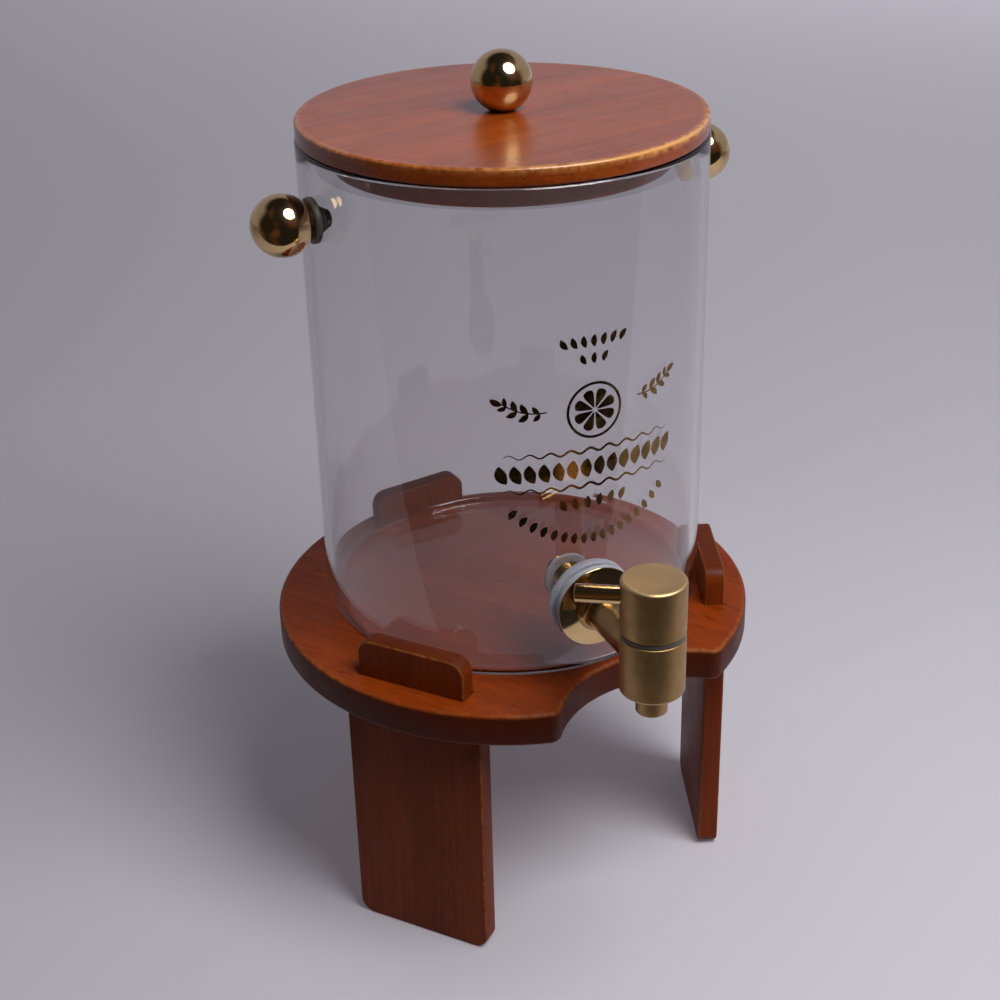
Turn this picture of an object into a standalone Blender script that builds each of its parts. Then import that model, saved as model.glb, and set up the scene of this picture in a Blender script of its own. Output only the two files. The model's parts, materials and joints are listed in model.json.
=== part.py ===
"""Countertop water dispenser.

A glass jar stands on a round wooden plate with three board legs. The legs' tenons pass
through the plate and stop the jar from sliding. The jar has a brass tap at the front, two
brass ball knobs to lift it by, and a wooden lid with a silicone seal.

Units are metres and +Z is up. The tap points to -Y. The floor is at z = 0, and the origin
is under the middle of the whole object.
"""
import math

import bmesh
import bpy
from mathutils import Matrix, Vector

# Clearance between pieces that touch, and a length that cutters run past a face.
GAP = 0.0003
PAST = 0.004

# Stand
PLATE_RADIUS = 0.127
PLATE_THICKNESS = 0.018
PLATE_EDGE_ROUND = 0.0025
LEG_HEIGHT = 0.136
LEG_WIDTH = 0.077
LEG_THICKNESS = 0.0105
LEG_RING_RADIUS = 0.1067
TENON_WIDTH = 0.060
TENON_PROUD = 0.0205
BOARD_CORNER = 0.008
BOARD_EDGE_ROUND = 0.0009
NOTCH_RADIUS = 0.065
NOTCH_CORNER = 0.007
# The jar is set down turned a little on its stand, and its knobs a little off square.
STAND_TURN = math.radians(9)
KNOB_TURN = math.radians(4.5)

# Jar
JAR_RADIUS = 0.100
JAR_HEIGHT = 0.2535
JAR_WALL = 0.004
JAR_BASE = 0.006
JAR_FOOT_CORNER = 0.013
JAR_FOOT_RING = 0.078
JAR_KICK = 0.001

# Lid
LID_RADIUS = 0.0995
LID_THICKNESS = 0.0085
LID_EDGE = 0.0012
PLUG_RADIUS = 0.086
PLUG_HEIGHT = 0.0125
SEAL_TOP_RADIUS = 0.0954
SEAL_FOOT_RADIUS = 0.0930
SEAL_TOP = -0.0010
SEAL_FOOT = -0.0115
SEAL_EDGE = 0.0008

# Ball knobs on the lid and on the jar's sides
BALL_RADIUS = 0.015
LID_BALL_HEIGHT = 0.0138
KNOB_REACH = 0.116
KNOB_DROP = 0.0290
KNOB_COLLAR_RADIUS = 0.0085
GROMMET_RADIUS = 0.011
GROMMET_NECK_RADIUS = 0.0076
GROMMET_FLANGE = 0.0030
GROMMET_SEAT = 0.0010
KNOB_HOLE_RADIUS = 0.0080
SCREW_RADIUS = 0.0020
SCREW_HOLE_RADIUS = 0.0023
SCREW_HEAD_RADIUS = 0.0045
SCREW_HEAD_HEIGHT = 0.0030
WASHER_RADIUS = 0.0070
WASHER_THICKNESS = 0.0010
KNOB_THREAD_DEPTH = 0.010
LID_THREAD_DEPTH = 0.012

# Tap. Heights of the barrel's pieces are measured from the tube's axis.
TAP_REACH = 0.160
TAP_AXIS_HEIGHT = 0.0418
TAP_HOLE_RADIUS = 0.0090
SHANK_RADIUS = 0.0082
SHANK_START = 0.060
TUBE_RADIUS = 0.0088
WATERWAY_RADIUS = 0.0050
HUB_START = 0.1052
HUB_RADIUS = 0.0118
HUB_LENGTH = 0.0038
FLANGE_RADIUS = 0.0210
TAP_WASHER_RADIUS = 0.0212
TAP_WASHER_BORE = 0.0088
OUTER_WASHER_FACE = 0.1033
INNER_WASHER_FACE = 0.0912
NUT_FACE = 0.0697
NUT_RADIUS = 0.0125
NUT_FLANGE = 0.0022
NUT_LENGTH = 0.0075
BARREL_RADIUS = 0.0155
BARREL_BOTTOM = -0.0142
BARREL_TOP = 0.0152
CHAMBER_RADIUS = 0.0118
CHAMBER_FLOOR = -0.0070
NOZZLE_RADIUS = 0.0076
NOZZLE_BORE = 0.0045
NOZZLE_BOTTOM = -0.0263
NOZZLE_STUB_RADIUS = 0.0062
NOZZLE_STUB_TOP = -0.0090
BONNET_BOTTOM = 0.0065
BONNET_TOP = 0.0200
CAP_BOTTOM = 0.0181
CAP_TOP = 0.0442
CAP_EDGE_ROUND = 0.0016
SPINDLE_RADIUS = 0.0040
SPINDLE_TOP = 0.0380
SPINDLE_FOOT_RADIUS = 0.0070
SPINDLE_FOOT_HEIGHT = 0.0025
VALVE_SEAT_BORE = 0.0048
VALVE_SEAT_HEIGHT = 0.0013
FIXED_DISC_RADIUS = 0.0095
MOVING_DISC_RADIUS = 0.0090
DISC_THICKNESS = 0.0020
PORT_RADIUS = 0.0022
PORT_OFFSET = 0.0048
BONNET_RADIUS = 0.0122
BONNET_GROOVE_RADIUS = 0.0060
BONNET_GROOVE_LOW = 0.0098
BONNET_GROOVE_HIGH = 0.0122
SPINDLE_RING_WIRE = 0.0007
BODY_RING_BORE = 0.0125
BODY_RING_RADIUS = 0.0148
CAP_BORE = 0.0128
CAP_CAVITY_TOP = 0.0212
LEVER_HEIGHT = 0.0350
LEVER_RADIUS = 0.00435
LEVER_STUB_RADIUS = 0.0030
LEVER_LENGTH = 0.0360
LEVER_TURN = math.radians(148.5)

# Derived places
PLATE_TOP = LEG_HEIGHT + PLATE_THICKNESS
JAR_Y = (TAP_REACH + BARREL_RADIUS - PLATE_RADIUS) / 2
JAR_BOTTOM = PLATE_TOP + GAP
RIM_HEIGHT = JAR_BOTTOM + JAR_HEIGHT
LID_TOP = RIM_HEIGHT + GAP + LID_THICKNESS
TAP_Z = JAR_BOTTOM + TAP_AXIS_HEIGHT
JAR_BORE = JAR_RADIUS - JAR_WALL

# How finely round pieces are cut
ROUND_LARGE = 60
ROUND_MEDIUM = 36
ROUND_BARREL = 32
ROUND_SMALL = 24
ROUND_TINY = 14


def clear_scene():
    for item in list(bpy.data.objects):
        bpy.data.objects.remove(item, do_unlink=True)


def make_material(name, colour, roughness, metallic=0.0, transmission=0.0):
    material = bpy.data.materials.new(name)
    material.use_nodes = True
    shader = material.node_tree.nodes["Principled BSDF"]
    shader.inputs["Base Color"].default_value = (*colour, 1.0)
    shader.inputs["Roughness"].default_value = roughness
    shader.inputs["Metallic"].default_value = metallic
    shader.inputs["Transmission Weight"].default_value = transmission
    material.diffuse_color = (*colour, 1.0)
    return material


def make_empty(name, location, rotation=(0.0, 0.0, 0.0)):
    empty = bpy.data.objects.new(name, None)
    empty.location = location
    empty.rotation_euler = rotation
    bpy.context.scene.collection.objects.link(empty)
    return empty


def add_object(name, bm, material, parent, smooth_angle=35):
    """Turns a bmesh into a named object under an empty, with its faces pointing out."""
    bmesh.ops.recalc_face_normals(bm, faces=bm.faces)
    mesh = bpy.data.meshes.new(name)
    bm.to_mesh(mesh)
    bm.free()
    mesh.shade_smooth()
    mesh.set_sharp_from_angle(angle=math.radians(smooth_angle))
    if material:
        mesh.materials.append(material)
    item = bpy.data.objects.new(name, mesh)
    item.parent = parent
    bpy.context.scene.collection.objects.link(item)
    return item


def arc(centre, radius, start, end, steps):
    """Points along an arc in (radius, height) or (x, y), angles in degrees."""
    points = []
    for step in range(steps + 1):
        angle = math.radians(start + (end - start) * step / steps)
        points.append((centre[0] + radius * math.cos(angle), centre[1] + radius * math.sin(angle)))
    return points


def turned(outline, segments, closed=False):
    """Spins an outline of (radius, height) points about Z. An open one ends on the axis."""
    bm = bmesh.new()
    verts = [bm.verts.new((radius, 0.0, height)) for radius, height in outline]
    pairs = list(zip(verts, verts[1:]))
    if closed:
        pairs.append((verts[-1], verts[0]))
    edges = [bm.edges.new(pair) for pair in pairs]
    bmesh.ops.spin(bm, geom=verts + edges, cent=(0, 0, 0), axis=(0, 0, 1),
                   angle=math.tau, steps=segments, use_merge=True)
    bmesh.ops.remove_doubles(bm, verts=bm.verts, dist=1e-6)
    bmesh.ops.dissolve_degenerate(bm, dist=1e-7, edges=bm.edges)
    return bm


def ring(inner, outer, low, high, segments):
    return turned([(inner, low), (outer, low), (outer, high), (inner, high)], segments, closed=True)


def rod(radius, low, high, segments):
    return turned([(0, low), (radius, low), (radius, high), (0, high)], segments)


def slab(outline, low, high):
    """Extrudes a flat outline of (x, y) points from low to high."""
    bm = bmesh.new()
    face = bm.faces.new([bm.verts.new((x, y, low)) for x, y in outline])
    made = bmesh.ops.extrude_face_region(bm, geom=[face])
    top = [item for item in made["geom"] if isinstance(item, bmesh.types.BMVert)]
    bmesh.ops.translate(bm, verts=top, vec=(0, 0, high - low))
    return bm


def round_edges(item, width, segments=2):
    bevel = item.modifiers.new("eased_edges", "BEVEL")
    bevel.width = width
    bevel.segments = segments
    bevel.limit_method = "ANGLE"
    bevel.angle_limit = math.radians(40)


def combine(item, other, operation):
    """Adds a Boolean with a helper object, which stays out of the model itself."""
    other.hide_render = True
    other.display_type = "WIRE"
    boolean = item.modifiers.new(other.name, "BOOLEAN")
    boolean.operation = operation
    boolean.object = other
    boolean.solver = "EXACT"


def cut(item, cutter):
    combine(item, cutter, "DIFFERENCE")


# ---------------------------------------------------------------- stand


def plate_outline():
    """A disc with a round bite under the tap, whose two corners are rounded."""
    bite = Vector((0.0, -TAP_REACH))
    disc_side = PLATE_RADIUS - NOTCH_CORNER
    bite_side = NOTCH_RADIUS + NOTCH_CORNER
    between = disc_side ** 2 - bite_side ** 2
    at_disc = math.degrees(math.acos((between + TAP_REACH ** 2) / (2 * disc_side * TAP_REACH)))
    at_bite = math.degrees(math.acos((TAP_REACH ** 2 - between) / (2 * bite_side * TAP_REACH)))
    right = disc_side * Vector((math.sin(math.radians(at_disc)), -math.cos(math.radians(at_disc))))
    left = Vector((-right.x, right.y))
    points = arc((0, 0), PLATE_RADIUS, at_disc - 90, 270 - at_disc, ROUND_LARGE)
    points += arc(left, NOTCH_CORNER, 270 - at_disc, 270 + at_bite, 5)[1:]
    points += arc(bite, NOTCH_RADIUS, 90 + at_bite, 90 - at_bite, 18)[1:]
    points += arc(right, NOTCH_CORNER, -90 - at_bite, at_disc - 90, 5)[1:-1]
    return points


def leg_outline():
    """A leg board seen from outside: a wide foot, shoulders, and a narrower tenon above."""
    half = LEG_WIDTH / 2
    tenon = TENON_WIDTH / 2
    shoulder = LEG_HEIGHT - GAP
    top = PLATE_TOP + TENON_PROUD
    corner = BOARD_CORNER
    points = arc((-half + corner, corner), corner, 180, 270, 4)
    points += arc((half - corner, corner), corner, 270, 360, 4)
    points += [(half, shoulder), (tenon, shoulder)]
    points += arc((tenon - corner, top - corner), corner, 0, 90, 4)
    points += arc((-tenon + corner, top - corner), corner, 90, 180, 4)
    points += [(-tenon, shoulder), (-half, shoulder)]
    return points


def add_stand(wood):
    frame = make_empty("stand_frame", (0, JAR_Y, 0), (0, 0, STAND_TURN))
    plate = add_object("stand_plate", slab(plate_outline(), LEG_HEIGHT, PLATE_TOP), wood, frame)
    round_edges(plate, PLATE_EDGE_ROUND)
    places = {"leg_front_right": -30, "leg_rear": 90, "leg_front_left": 210}
    for name, degrees in places.items():
        angle = math.radians(degrees)
        turn = Matrix.Rotation(angle + math.pi / 2, 4, "Z") @ Matrix.Rotation(math.pi / 2, 4, "X")
        middle = Vector((math.cos(angle), math.sin(angle), 0)) * LEG_RING_RADIUS
        place = Matrix.Translation(middle) @ turn
        half = LEG_THICKNESS / 2
        leg = add_object(name, slab(leg_outline(), -half, half), wood, frame)
        leg.matrix_local = place
        round_edges(leg, BOARD_EDGE_ROUND)
        slot_half = TENON_WIDTH / 2 + GAP
        low = LEG_HEIGHT - PAST
        high = PLATE_TOP + PAST
        corners = [(-slot_half, low), (slot_half, low), (slot_half, high), (-slot_half, high)]
        slot = add_object(name + "_slot", slab(corners, -half - GAP, half + GAP), None, frame)
        slot.matrix_local = place
        cut(plate, slot)


# ---------------------------------------------------------------- jar


def jar_outline():
    lip = JAR_WALL / 2
    inner_corner = JAR_FOOT_CORNER - JAR_WALL
    points = [(0, JAR_KICK), (JAR_FOOT_RING - JAR_KICK * 3, JAR_KICK), (JAR_FOOT_RING, 0)]
    points += arc((JAR_RADIUS - JAR_FOOT_CORNER, JAR_FOOT_CORNER), JAR_FOOT_CORNER, 270, 360, 5)
    points += arc((JAR_RADIUS - lip, JAR_HEIGHT - lip), lip, 0, 180, 4)
    points += arc((JAR_BORE - inner_corner, JAR_BASE + inner_corner), inner_corner, 360, 270, 4)
    points += [(0, JAR_BASE)]
    return points


def knob_rotation(side):
    """Turns local +Z to point out of the jar's side, -1 for the left and 1 for the right."""
    outward = KNOB_TURN + (0 if side > 0 else math.pi)
    return (0.0, math.pi / 2, outward)


def add_jar(glass):
    frame = make_empty("jar_frame", (0, JAR_Y, JAR_BOTTOM))
    jar = add_object("glass_jar", turned(jar_outline(), ROUND_LARGE), glass, frame, 50)
    middle = JAR_RADIUS - JAR_WALL / 2
    depth = JAR_WALL + PAST
    tap_drill = add_object("tap_drill", rod(TAP_HOLE_RADIUS, middle - depth, middle + depth,
                                            ROUND_SMALL), None, frame)
    tap_drill.location.z = TAP_AXIS_HEIGHT
    tap_drill.rotation_euler.x = math.pi / 2
    cut(jar, tap_drill)
    for side, word in ((-1, "left"), (1, "right")):
        drill = add_object("knob_drill_" + word, rod(KNOB_HOLE_RADIUS, middle - depth,
                                                     middle + depth, ROUND_TINY), None, frame)
        drill.location.z = JAR_HEIGHT - KNOB_DROP
        drill.rotation_euler = knob_rotation(side)
        cut(jar, drill)


def ball_outline(centre, flat, hole_depth, collar=0.0):
    """A ball above a flat seat, with a blind screw hole from below and an optional collar."""
    points = [(0, flat + hole_depth), (SCREW_HOLE_RADIUS, flat + hole_depth)]
    points += [(SCREW_HOLE_RADIUS, flat)]
    if collar:
        drop = math.sqrt(BALL_RADIUS ** 2 - collar ** 2)
        points += [(collar, flat)]
        start = -math.degrees(math.asin(drop / BALL_RADIUS))
    else:
        start = -math.degrees(math.asin((centre - flat) / BALL_RADIUS))
    around = arc((0, centre), BALL_RADIUS, start, 90, 11)
    return points + around[:-1] + [(0, centre + BALL_RADIUS)]


def screw_outline(head_end, tip):
    """A pan-head screw along +Z. Its head starts at head_end and its point is at tip."""
    neck = head_end + SCREW_HEAD_HEIGHT
    return [(0, head_end), (SCREW_HEAD_RADIUS * 0.7, head_end),
            (SCREW_HEAD_RADIUS, head_end + SCREW_HEAD_HEIGHT * 0.45),
            (SCREW_HEAD_RADIUS, neck), (SCREW_RADIUS, neck), (SCREW_RADIUS, tip - SCREW_RADIUS),
            (0, tip)]


def grommet_outline():
    """A rubber grommet: a flange on each side of the glass and a neck through the hole."""
    bore = SCREW_RADIUS + 3 * GAP
    inner_face = JAR_BORE - GROMMET_SEAT
    outer_face = JAR_RADIUS + GAP
    flange = GROMMET_FLANGE
    edge = 0.0008
    wide = GROMMET_RADIUS
    return [(bore, inner_face - flange), (wide - edge, inner_face - flange),
            (wide, inner_face - flange + edge), (wide, inner_face),
            (GROMMET_NECK_RADIUS, inner_face), (GROMMET_NECK_RADIUS, outer_face),
            (wide, outer_face), (wide, outer_face + flange - edge),
            (wide - edge, outer_face + flange), (bore, outer_face + flange)]


def add_side_knobs(brass, rubber, steel):
    inner_end = JAR_BORE - GROMMET_SEAT - GROMMET_FLANGE
    washer_low = inner_end - GAP - WASHER_THICKNESS
    seat = JAR_RADIUS + GROMMET_FLANGE + 2 * GAP
    for side, word in ((-1, "left"), (1, "right")):
        frame = make_empty("knob_frame_" + word, (0, JAR_Y, RIM_HEIGHT - KNOB_DROP),
                           knob_rotation(side))
        ball = ball_outline(KNOB_REACH, seat, KNOB_THREAD_DEPTH, KNOB_COLLAR_RADIUS)
        add_object("knob_ball_" + word, turned(ball, ROUND_SMALL), brass, frame)
        grommet = turned(grommet_outline(), ROUND_TINY, closed=True)
        add_object("knob_grommet_" + word, grommet, rubber, frame)
        washer = ring(SCREW_HOLE_RADIUS, WASHER_RADIUS, washer_low,
                      washer_low + WASHER_THICKNESS, ROUND_TINY)
        add_object("knob_washer_" + word, washer, steel, frame)
        tip = seat + KNOB_THREAD_DEPTH - 3 * GAP
        screw = screw_outline(washer_low - GAP - SCREW_HEAD_HEIGHT, tip)
        add_object("knob_screw_" + word, turned(screw, ROUND_TINY), steel, frame)


# ---------------------------------------------------------------- tap


def tube_guide_outline():
    """The cast tube with its threaded shank and hub, as a solid that ends in the barrel."""
    hub_end = HUB_START + HUB_LENGTH
    thread_edge = 0.0006
    return [(0, SHANK_START), (SHANK_RADIUS - thread_edge, SHANK_START),
            (SHANK_RADIUS, SHANK_START + thread_edge), (SHANK_RADIUS, HUB_START),
            (HUB_RADIUS, HUB_START), (HUB_RADIUS, HUB_START + HUB_LENGTH / 3),
            (TUBE_RADIUS + 0.0012, hub_end - HUB_LENGTH / 4), (TUBE_RADIUS, hub_end),
            (TUBE_RADIUS, TAP_REACH - BARREL_RADIUS / 3), (0, TAP_REACH - BARREL_RADIUS / 3)]


def barrel_outline():
    edge = 0.0008
    return [(0, BARREL_BOTTOM), (BARREL_RADIUS - 2 * edge, BARREL_BOTTOM),
            (BARREL_RADIUS - edge / 2, BARREL_BOTTOM + edge / 2),
            (BARREL_RADIUS, BARREL_BOTTOM + 2 * edge), (BARREL_RADIUS, BARREL_TOP - edge / 2),
            (BARREL_RADIUS - edge / 2, BARREL_TOP), (0, BARREL_TOP)]


def chamber_outline():
    """The hollow of the barrel: nozzle socket, outlet and valve chamber, open at both ends."""
    socket = NOZZLE_STUB_RADIUS + GAP
    socket_top = NOZZLE_STUB_TOP + GAP
    return [(0, BARREL_BOTTOM - PAST), (socket, BARREL_BOTTOM - PAST), (socket, socket_top),
            (NOZZLE_BORE, socket_top), (NOZZLE_BORE, CHAMBER_FLOOR),
            (CHAMBER_RADIUS, CHAMBER_FLOOR), (CHAMBER_RADIUS, BARREL_TOP + PAST),
            (0, BARREL_TOP + PAST)]


def nozzle_outline():
    edge = 0.0007
    shoulder = BARREL_BOTTOM - GAP
    return [(NOZZLE_BORE, NOZZLE_BOTTOM), (NOZZLE_RADIUS - edge, NOZZLE_BOTTOM),
            (NOZZLE_RADIUS, NOZZLE_BOTTOM + edge), (NOZZLE_RADIUS, shoulder),
            (NOZZLE_STUB_RADIUS, shoulder), (NOZZLE_STUB_RADIUS, NOZZLE_STUB_TOP),
            (NOZZLE_BORE, NOZZLE_STUB_TOP)]


def flange_outline():
    """A thin dished disc between the outer washer and the tube's hub."""
    back = OUTER_WASHER_FACE + GAP
    front = HUB_START - GAP
    rim = 0.0010
    return [(SHANK_RADIUS + GAP, back), (FLANGE_RADIUS - rim / 2, back),
            (FLANGE_RADIUS, back + rim / 2), (FLANGE_RADIUS - rim / 3, back + rim),
            (FLANGE_RADIUS - 2.5 * rim, back + rim * 0.8), (HUB_RADIUS + rim, front),
            (SHANK_RADIUS + GAP, front)]


def add_tap_mount(brass, silicone, nylon):
    """The pieces round the hole in the glass, placed by their distance from the jar's axis."""
    frame = make_empty("tap_axis_frame", (0, JAR_Y, TAP_Z), (math.pi / 2, 0, 0))
    add_object("tap_flange", turned(flange_outline(), ROUND_MEDIUM, closed=True), brass, frame)

    outer = ring(TAP_WASHER_BORE, TAP_WASHER_RADIUS, JAR_RADIUS - PAST, OUTER_WASHER_FACE,
                 ROUND_MEDIUM)
    outer_washer = add_object("tap_washer_outer", outer, silicone, frame)
    inner = ring(TAP_WASHER_BORE, TAP_WASHER_RADIUS, INNER_WASHER_FACE, JAR_BORE + PAST / 4,
                 ROUND_MEDIUM)
    inner_washer = add_object("tap_washer_inner", inner, silicone, frame)

    jar_frame = make_empty("saddle_frame", (0, JAR_Y, TAP_Z))
    tall = 2 * TAP_WASHER_RADIUS
    outside = add_object("outside_saddle", rod(JAR_RADIUS + GAP, -tall, tall, 2 * ROUND_LARGE),
                         None, jar_frame)
    inside = add_object("inside_saddle", rod(JAR_BORE - 2 * GAP, -tall, tall, 2 * ROUND_LARGE),
                        None, jar_frame)
    cut(outer_washer, outside)
    combine(inner_washer, inside, "INTERSECT")

    flange = ring(SHANK_RADIUS + GAP, NUT_RADIUS, NUT_FACE - NUT_FLANGE, NUT_FACE, ROUND_SMALL)
    nut = add_object("tap_nut", flange, nylon, frame)
    hexagon = add_object("nut_hexagon", rod(NUT_RADIUS * 0.9, NUT_FACE - NUT_LENGTH,
                                            NUT_FACE - NUT_FLANGE / 2, 6), None, frame, 20)
    nut_bore = add_object("nut_bore", rod(SHANK_RADIUS + GAP, NUT_FACE - NUT_LENGTH - PAST,
                                          NUT_FACE + PAST, ROUND_SMALL), None, frame)
    combine(nut, hexagon, "UNION")
    cut(nut, nut_bore)


def add_tap_body(brass, frame):
    body = add_object("tap_body", turned(barrel_outline(), ROUND_BARREL), brass, frame)
    tube = add_object("tube_guide", turned(tube_guide_outline(), ROUND_SMALL), None, frame)
    waterway = add_object("waterway_drill", rod(WATERWAY_RADIUS, SHANK_START - PAST, TAP_REACH,
                                                ROUND_TINY), None, frame)
    for helper in (tube, waterway):
        helper.location.y = TAP_REACH
        helper.rotation_euler.x = math.pi / 2
    chamber = add_object("chamber_drill", turned(chamber_outline(), ROUND_SMALL), None, frame)
    combine(body, tube, "UNION")
    cut(body, waterway)
    cut(body, chamber)
    add_object("tap_nozzle", turned(nozzle_outline(), ROUND_SMALL, closed=True), brass, frame)


def disc_with_ports(radius, low, name, ceramic, frame):
    """A valve disc with two round ports, which line up or shut as one disc turns."""
    high = low + DISC_THICKNESS
    disc = add_object(name, rod(radius, low, high, ROUND_SMALL), ceramic, frame, 30)
    for side, word in ((-1, "_port_a"), (1, "_port_b")):
        port = rod(PORT_RADIUS, low - PAST, high + PAST, ROUND_TINY)
        drill = add_object(name + word, port, None, frame)
        drill.location.x = side * PORT_OFFSET
        cut(disc, drill)


def bonnet_outline():
    """The screwed-in cover of the valve chamber, with a groove for the spindle's ring."""
    bore = SPINDLE_RADIUS + GAP
    plug = CHAMBER_RADIUS - GAP
    shoulder = BARREL_TOP + GAP
    return [(bore, BONNET_BOTTOM), (plug, BONNET_BOTTOM), (plug, shoulder),
            (BONNET_RADIUS, shoulder), (BONNET_RADIUS, BONNET_TOP), (bore, BONNET_TOP),
            (bore, BONNET_GROOVE_HIGH), (BONNET_GROOVE_RADIUS, BONNET_GROOVE_HIGH),
            (BONNET_GROOVE_RADIUS, BONNET_GROOVE_LOW), (bore, BONNET_GROOVE_LOW)]


def spindle_outline(foot_low):
    edge = 0.0006
    foot_high = foot_low + SPINDLE_FOOT_HEIGHT
    return [(0, foot_low), (SPINDLE_FOOT_RADIUS, foot_low), (SPINDLE_FOOT_RADIUS, foot_high),
            (SPINDLE_RADIUS, foot_high), (SPINDLE_RADIUS, SPINDLE_TOP - edge),
            (SPINDLE_RADIUS - edge, SPINDLE_TOP), (0, SPINDLE_TOP)]


def body_ring_outline():
    """The dark ring that shows in the groove between the barrel and the cap."""
    low = BARREL_TOP + GAP
    high = CAP_BOTTOM - GAP
    wide = BODY_RING_RADIUS
    return [(BODY_RING_BORE, low), (wide, low), (wide + GAP, low + 2 * GAP),
            (wide + GAP, high - 2 * GAP), (wide, high), (BODY_RING_BORE, high)]


def add_valve(brass, rubber, ceramic, frame):
    seat_low = CHAMBER_FLOOR + GAP
    seat_high = seat_low + VALVE_SEAT_HEIGHT
    seat = ring(VALVE_SEAT_BORE, FIXED_DISC_RADIUS, seat_low, seat_high, ROUND_SMALL)
    add_object("valve_seat", seat, rubber, frame)
    fixed_low = seat_high + GAP
    disc_with_ports(FIXED_DISC_RADIUS, fixed_low, "valve_fixed_disc", ceramic, frame)
    moving_low = fixed_low + DISC_THICKNESS + GAP
    disc_with_ports(MOVING_DISC_RADIUS, moving_low, "valve_moving_disc", ceramic, frame)

    spindle = turned(spindle_outline(moving_low + DISC_THICKNESS + GAP), ROUND_TINY)
    add_object("valve_spindle", spindle, brass, frame)
    bonnet = turned(bonnet_outline(), ROUND_SMALL, closed=True)
    add_object("valve_bonnet", bonnet, brass, frame)

    centre = (SPINDLE_RADIUS + GAP + SPINDLE_RING_WIRE + GAP / 3,
              (BONNET_GROOVE_LOW + BONNET_GROOVE_HIGH) / 2)
    spindle_ring = arc(centre, SPINDLE_RING_WIRE, 0, 300, 5)
    add_object("spindle_o_ring", turned(spindle_ring, ROUND_TINY, closed=True), rubber, frame)
    body_ring = turned(body_ring_outline(), ROUND_SMALL, closed=True)
    add_object("tap_o_ring", body_ring, rubber, frame)


def cap_outline():
    """The turning cap, hollow over the bonnet, with a blind socket for the spindle."""
    socket = SPINDLE_RADIUS + GAP
    edge = 0.0004
    return ([(0, SPINDLE_TOP + GAP), (socket, SPINDLE_TOP + GAP), (socket, CAP_CAVITY_TOP),
             (CAP_BORE, CAP_CAVITY_TOP), (CAP_BORE, CAP_BOTTOM),
             (BARREL_RADIUS - edge, CAP_BOTTOM), (BARREL_RADIUS, CAP_BOTTOM + edge)]
            + arc((BARREL_RADIUS - CAP_EDGE_ROUND, CAP_TOP - CAP_EDGE_ROUND),
                  CAP_EDGE_ROUND, 0, 90, 4)
            + [(0, CAP_TOP)])


def lever_outline():
    """The rod that turns the cap. Its thinner threaded end goes into the cap's side."""
    shoulder = BARREL_RADIUS + GAP
    chamfer = 0.0005
    return [(0, SPINDLE_RADIUS + 3 * GAP), (LEVER_STUB_RADIUS, SPINDLE_RADIUS + 3 * GAP),
            (LEVER_STUB_RADIUS, shoulder), (LEVER_RADIUS, shoulder),
            (LEVER_RADIUS, LEVER_LENGTH - chamfer), (LEVER_RADIUS - chamfer, LEVER_LENGTH),
            (0, LEVER_LENGTH)]


def add_handle(satin_brass, brass, frame):
    cap = add_object("tap_cap", turned(cap_outline(), ROUND_BARREL), satin_brass, frame)
    lever = add_object("tap_lever", turned(lever_outline(), ROUND_TINY), brass, frame)
    drill = add_object("lever_drill", rod(LEVER_STUB_RADIUS + GAP, SPINDLE_RADIUS / 2,
                                          BARREL_RADIUS + PAST, ROUND_TINY), None, frame)
    for item in (lever, drill):
        item.location.z = LEVER_HEIGHT
        item.rotation_euler = (0, math.pi / 2, LEVER_TURN)
    cut(cap, drill)


def add_tap(satin_brass, brass, silicone, rubber, nylon, ceramic):
    add_tap_mount(brass, silicone, nylon)
    barrel = make_empty("tap_barrel_frame", (0, JAR_Y - TAP_REACH, TAP_Z))
    add_tap_body(satin_brass, barrel)
    add_valve(satin_brass, rubber, ceramic, barrel)
    add_handle(satin_brass, brass, barrel)


# ---------------------------------------------------------------- lid


def seal_outline():
    """A soft ring round the plug, tapered towards its foot, with a lip near the top."""
    inner = PLUG_RADIUS + GAP
    lip = 2 * SEAL_EDGE
    return [(inner, SEAL_FOOT), (SEAL_FOOT_RADIUS - SEAL_EDGE, SEAL_FOOT),
            (SEAL_FOOT_RADIUS, SEAL_FOOT + SEAL_EDGE),
            (SEAL_TOP_RADIUS - SEAL_EDGE, SEAL_TOP - 2 * lip), (SEAL_TOP_RADIUS, SEAL_TOP - lip),
            (SEAL_TOP_RADIUS - SEAL_EDGE, SEAL_TOP), (inner, SEAL_TOP)]


def lid_top_outline():
    hole = SCREW_HOLE_RADIUS
    low = GAP
    high = GAP + LID_THICKNESS
    wide = LID_RADIUS
    return [(hole, low), (wide - LID_EDGE / 2, low), (wide, low + LID_EDGE / 2),
            (wide, high - LID_EDGE), (wide - LID_EDGE * 0.3, high - LID_EDGE * 0.3),
            (wide - LID_EDGE, high), (hole, high)]


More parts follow.
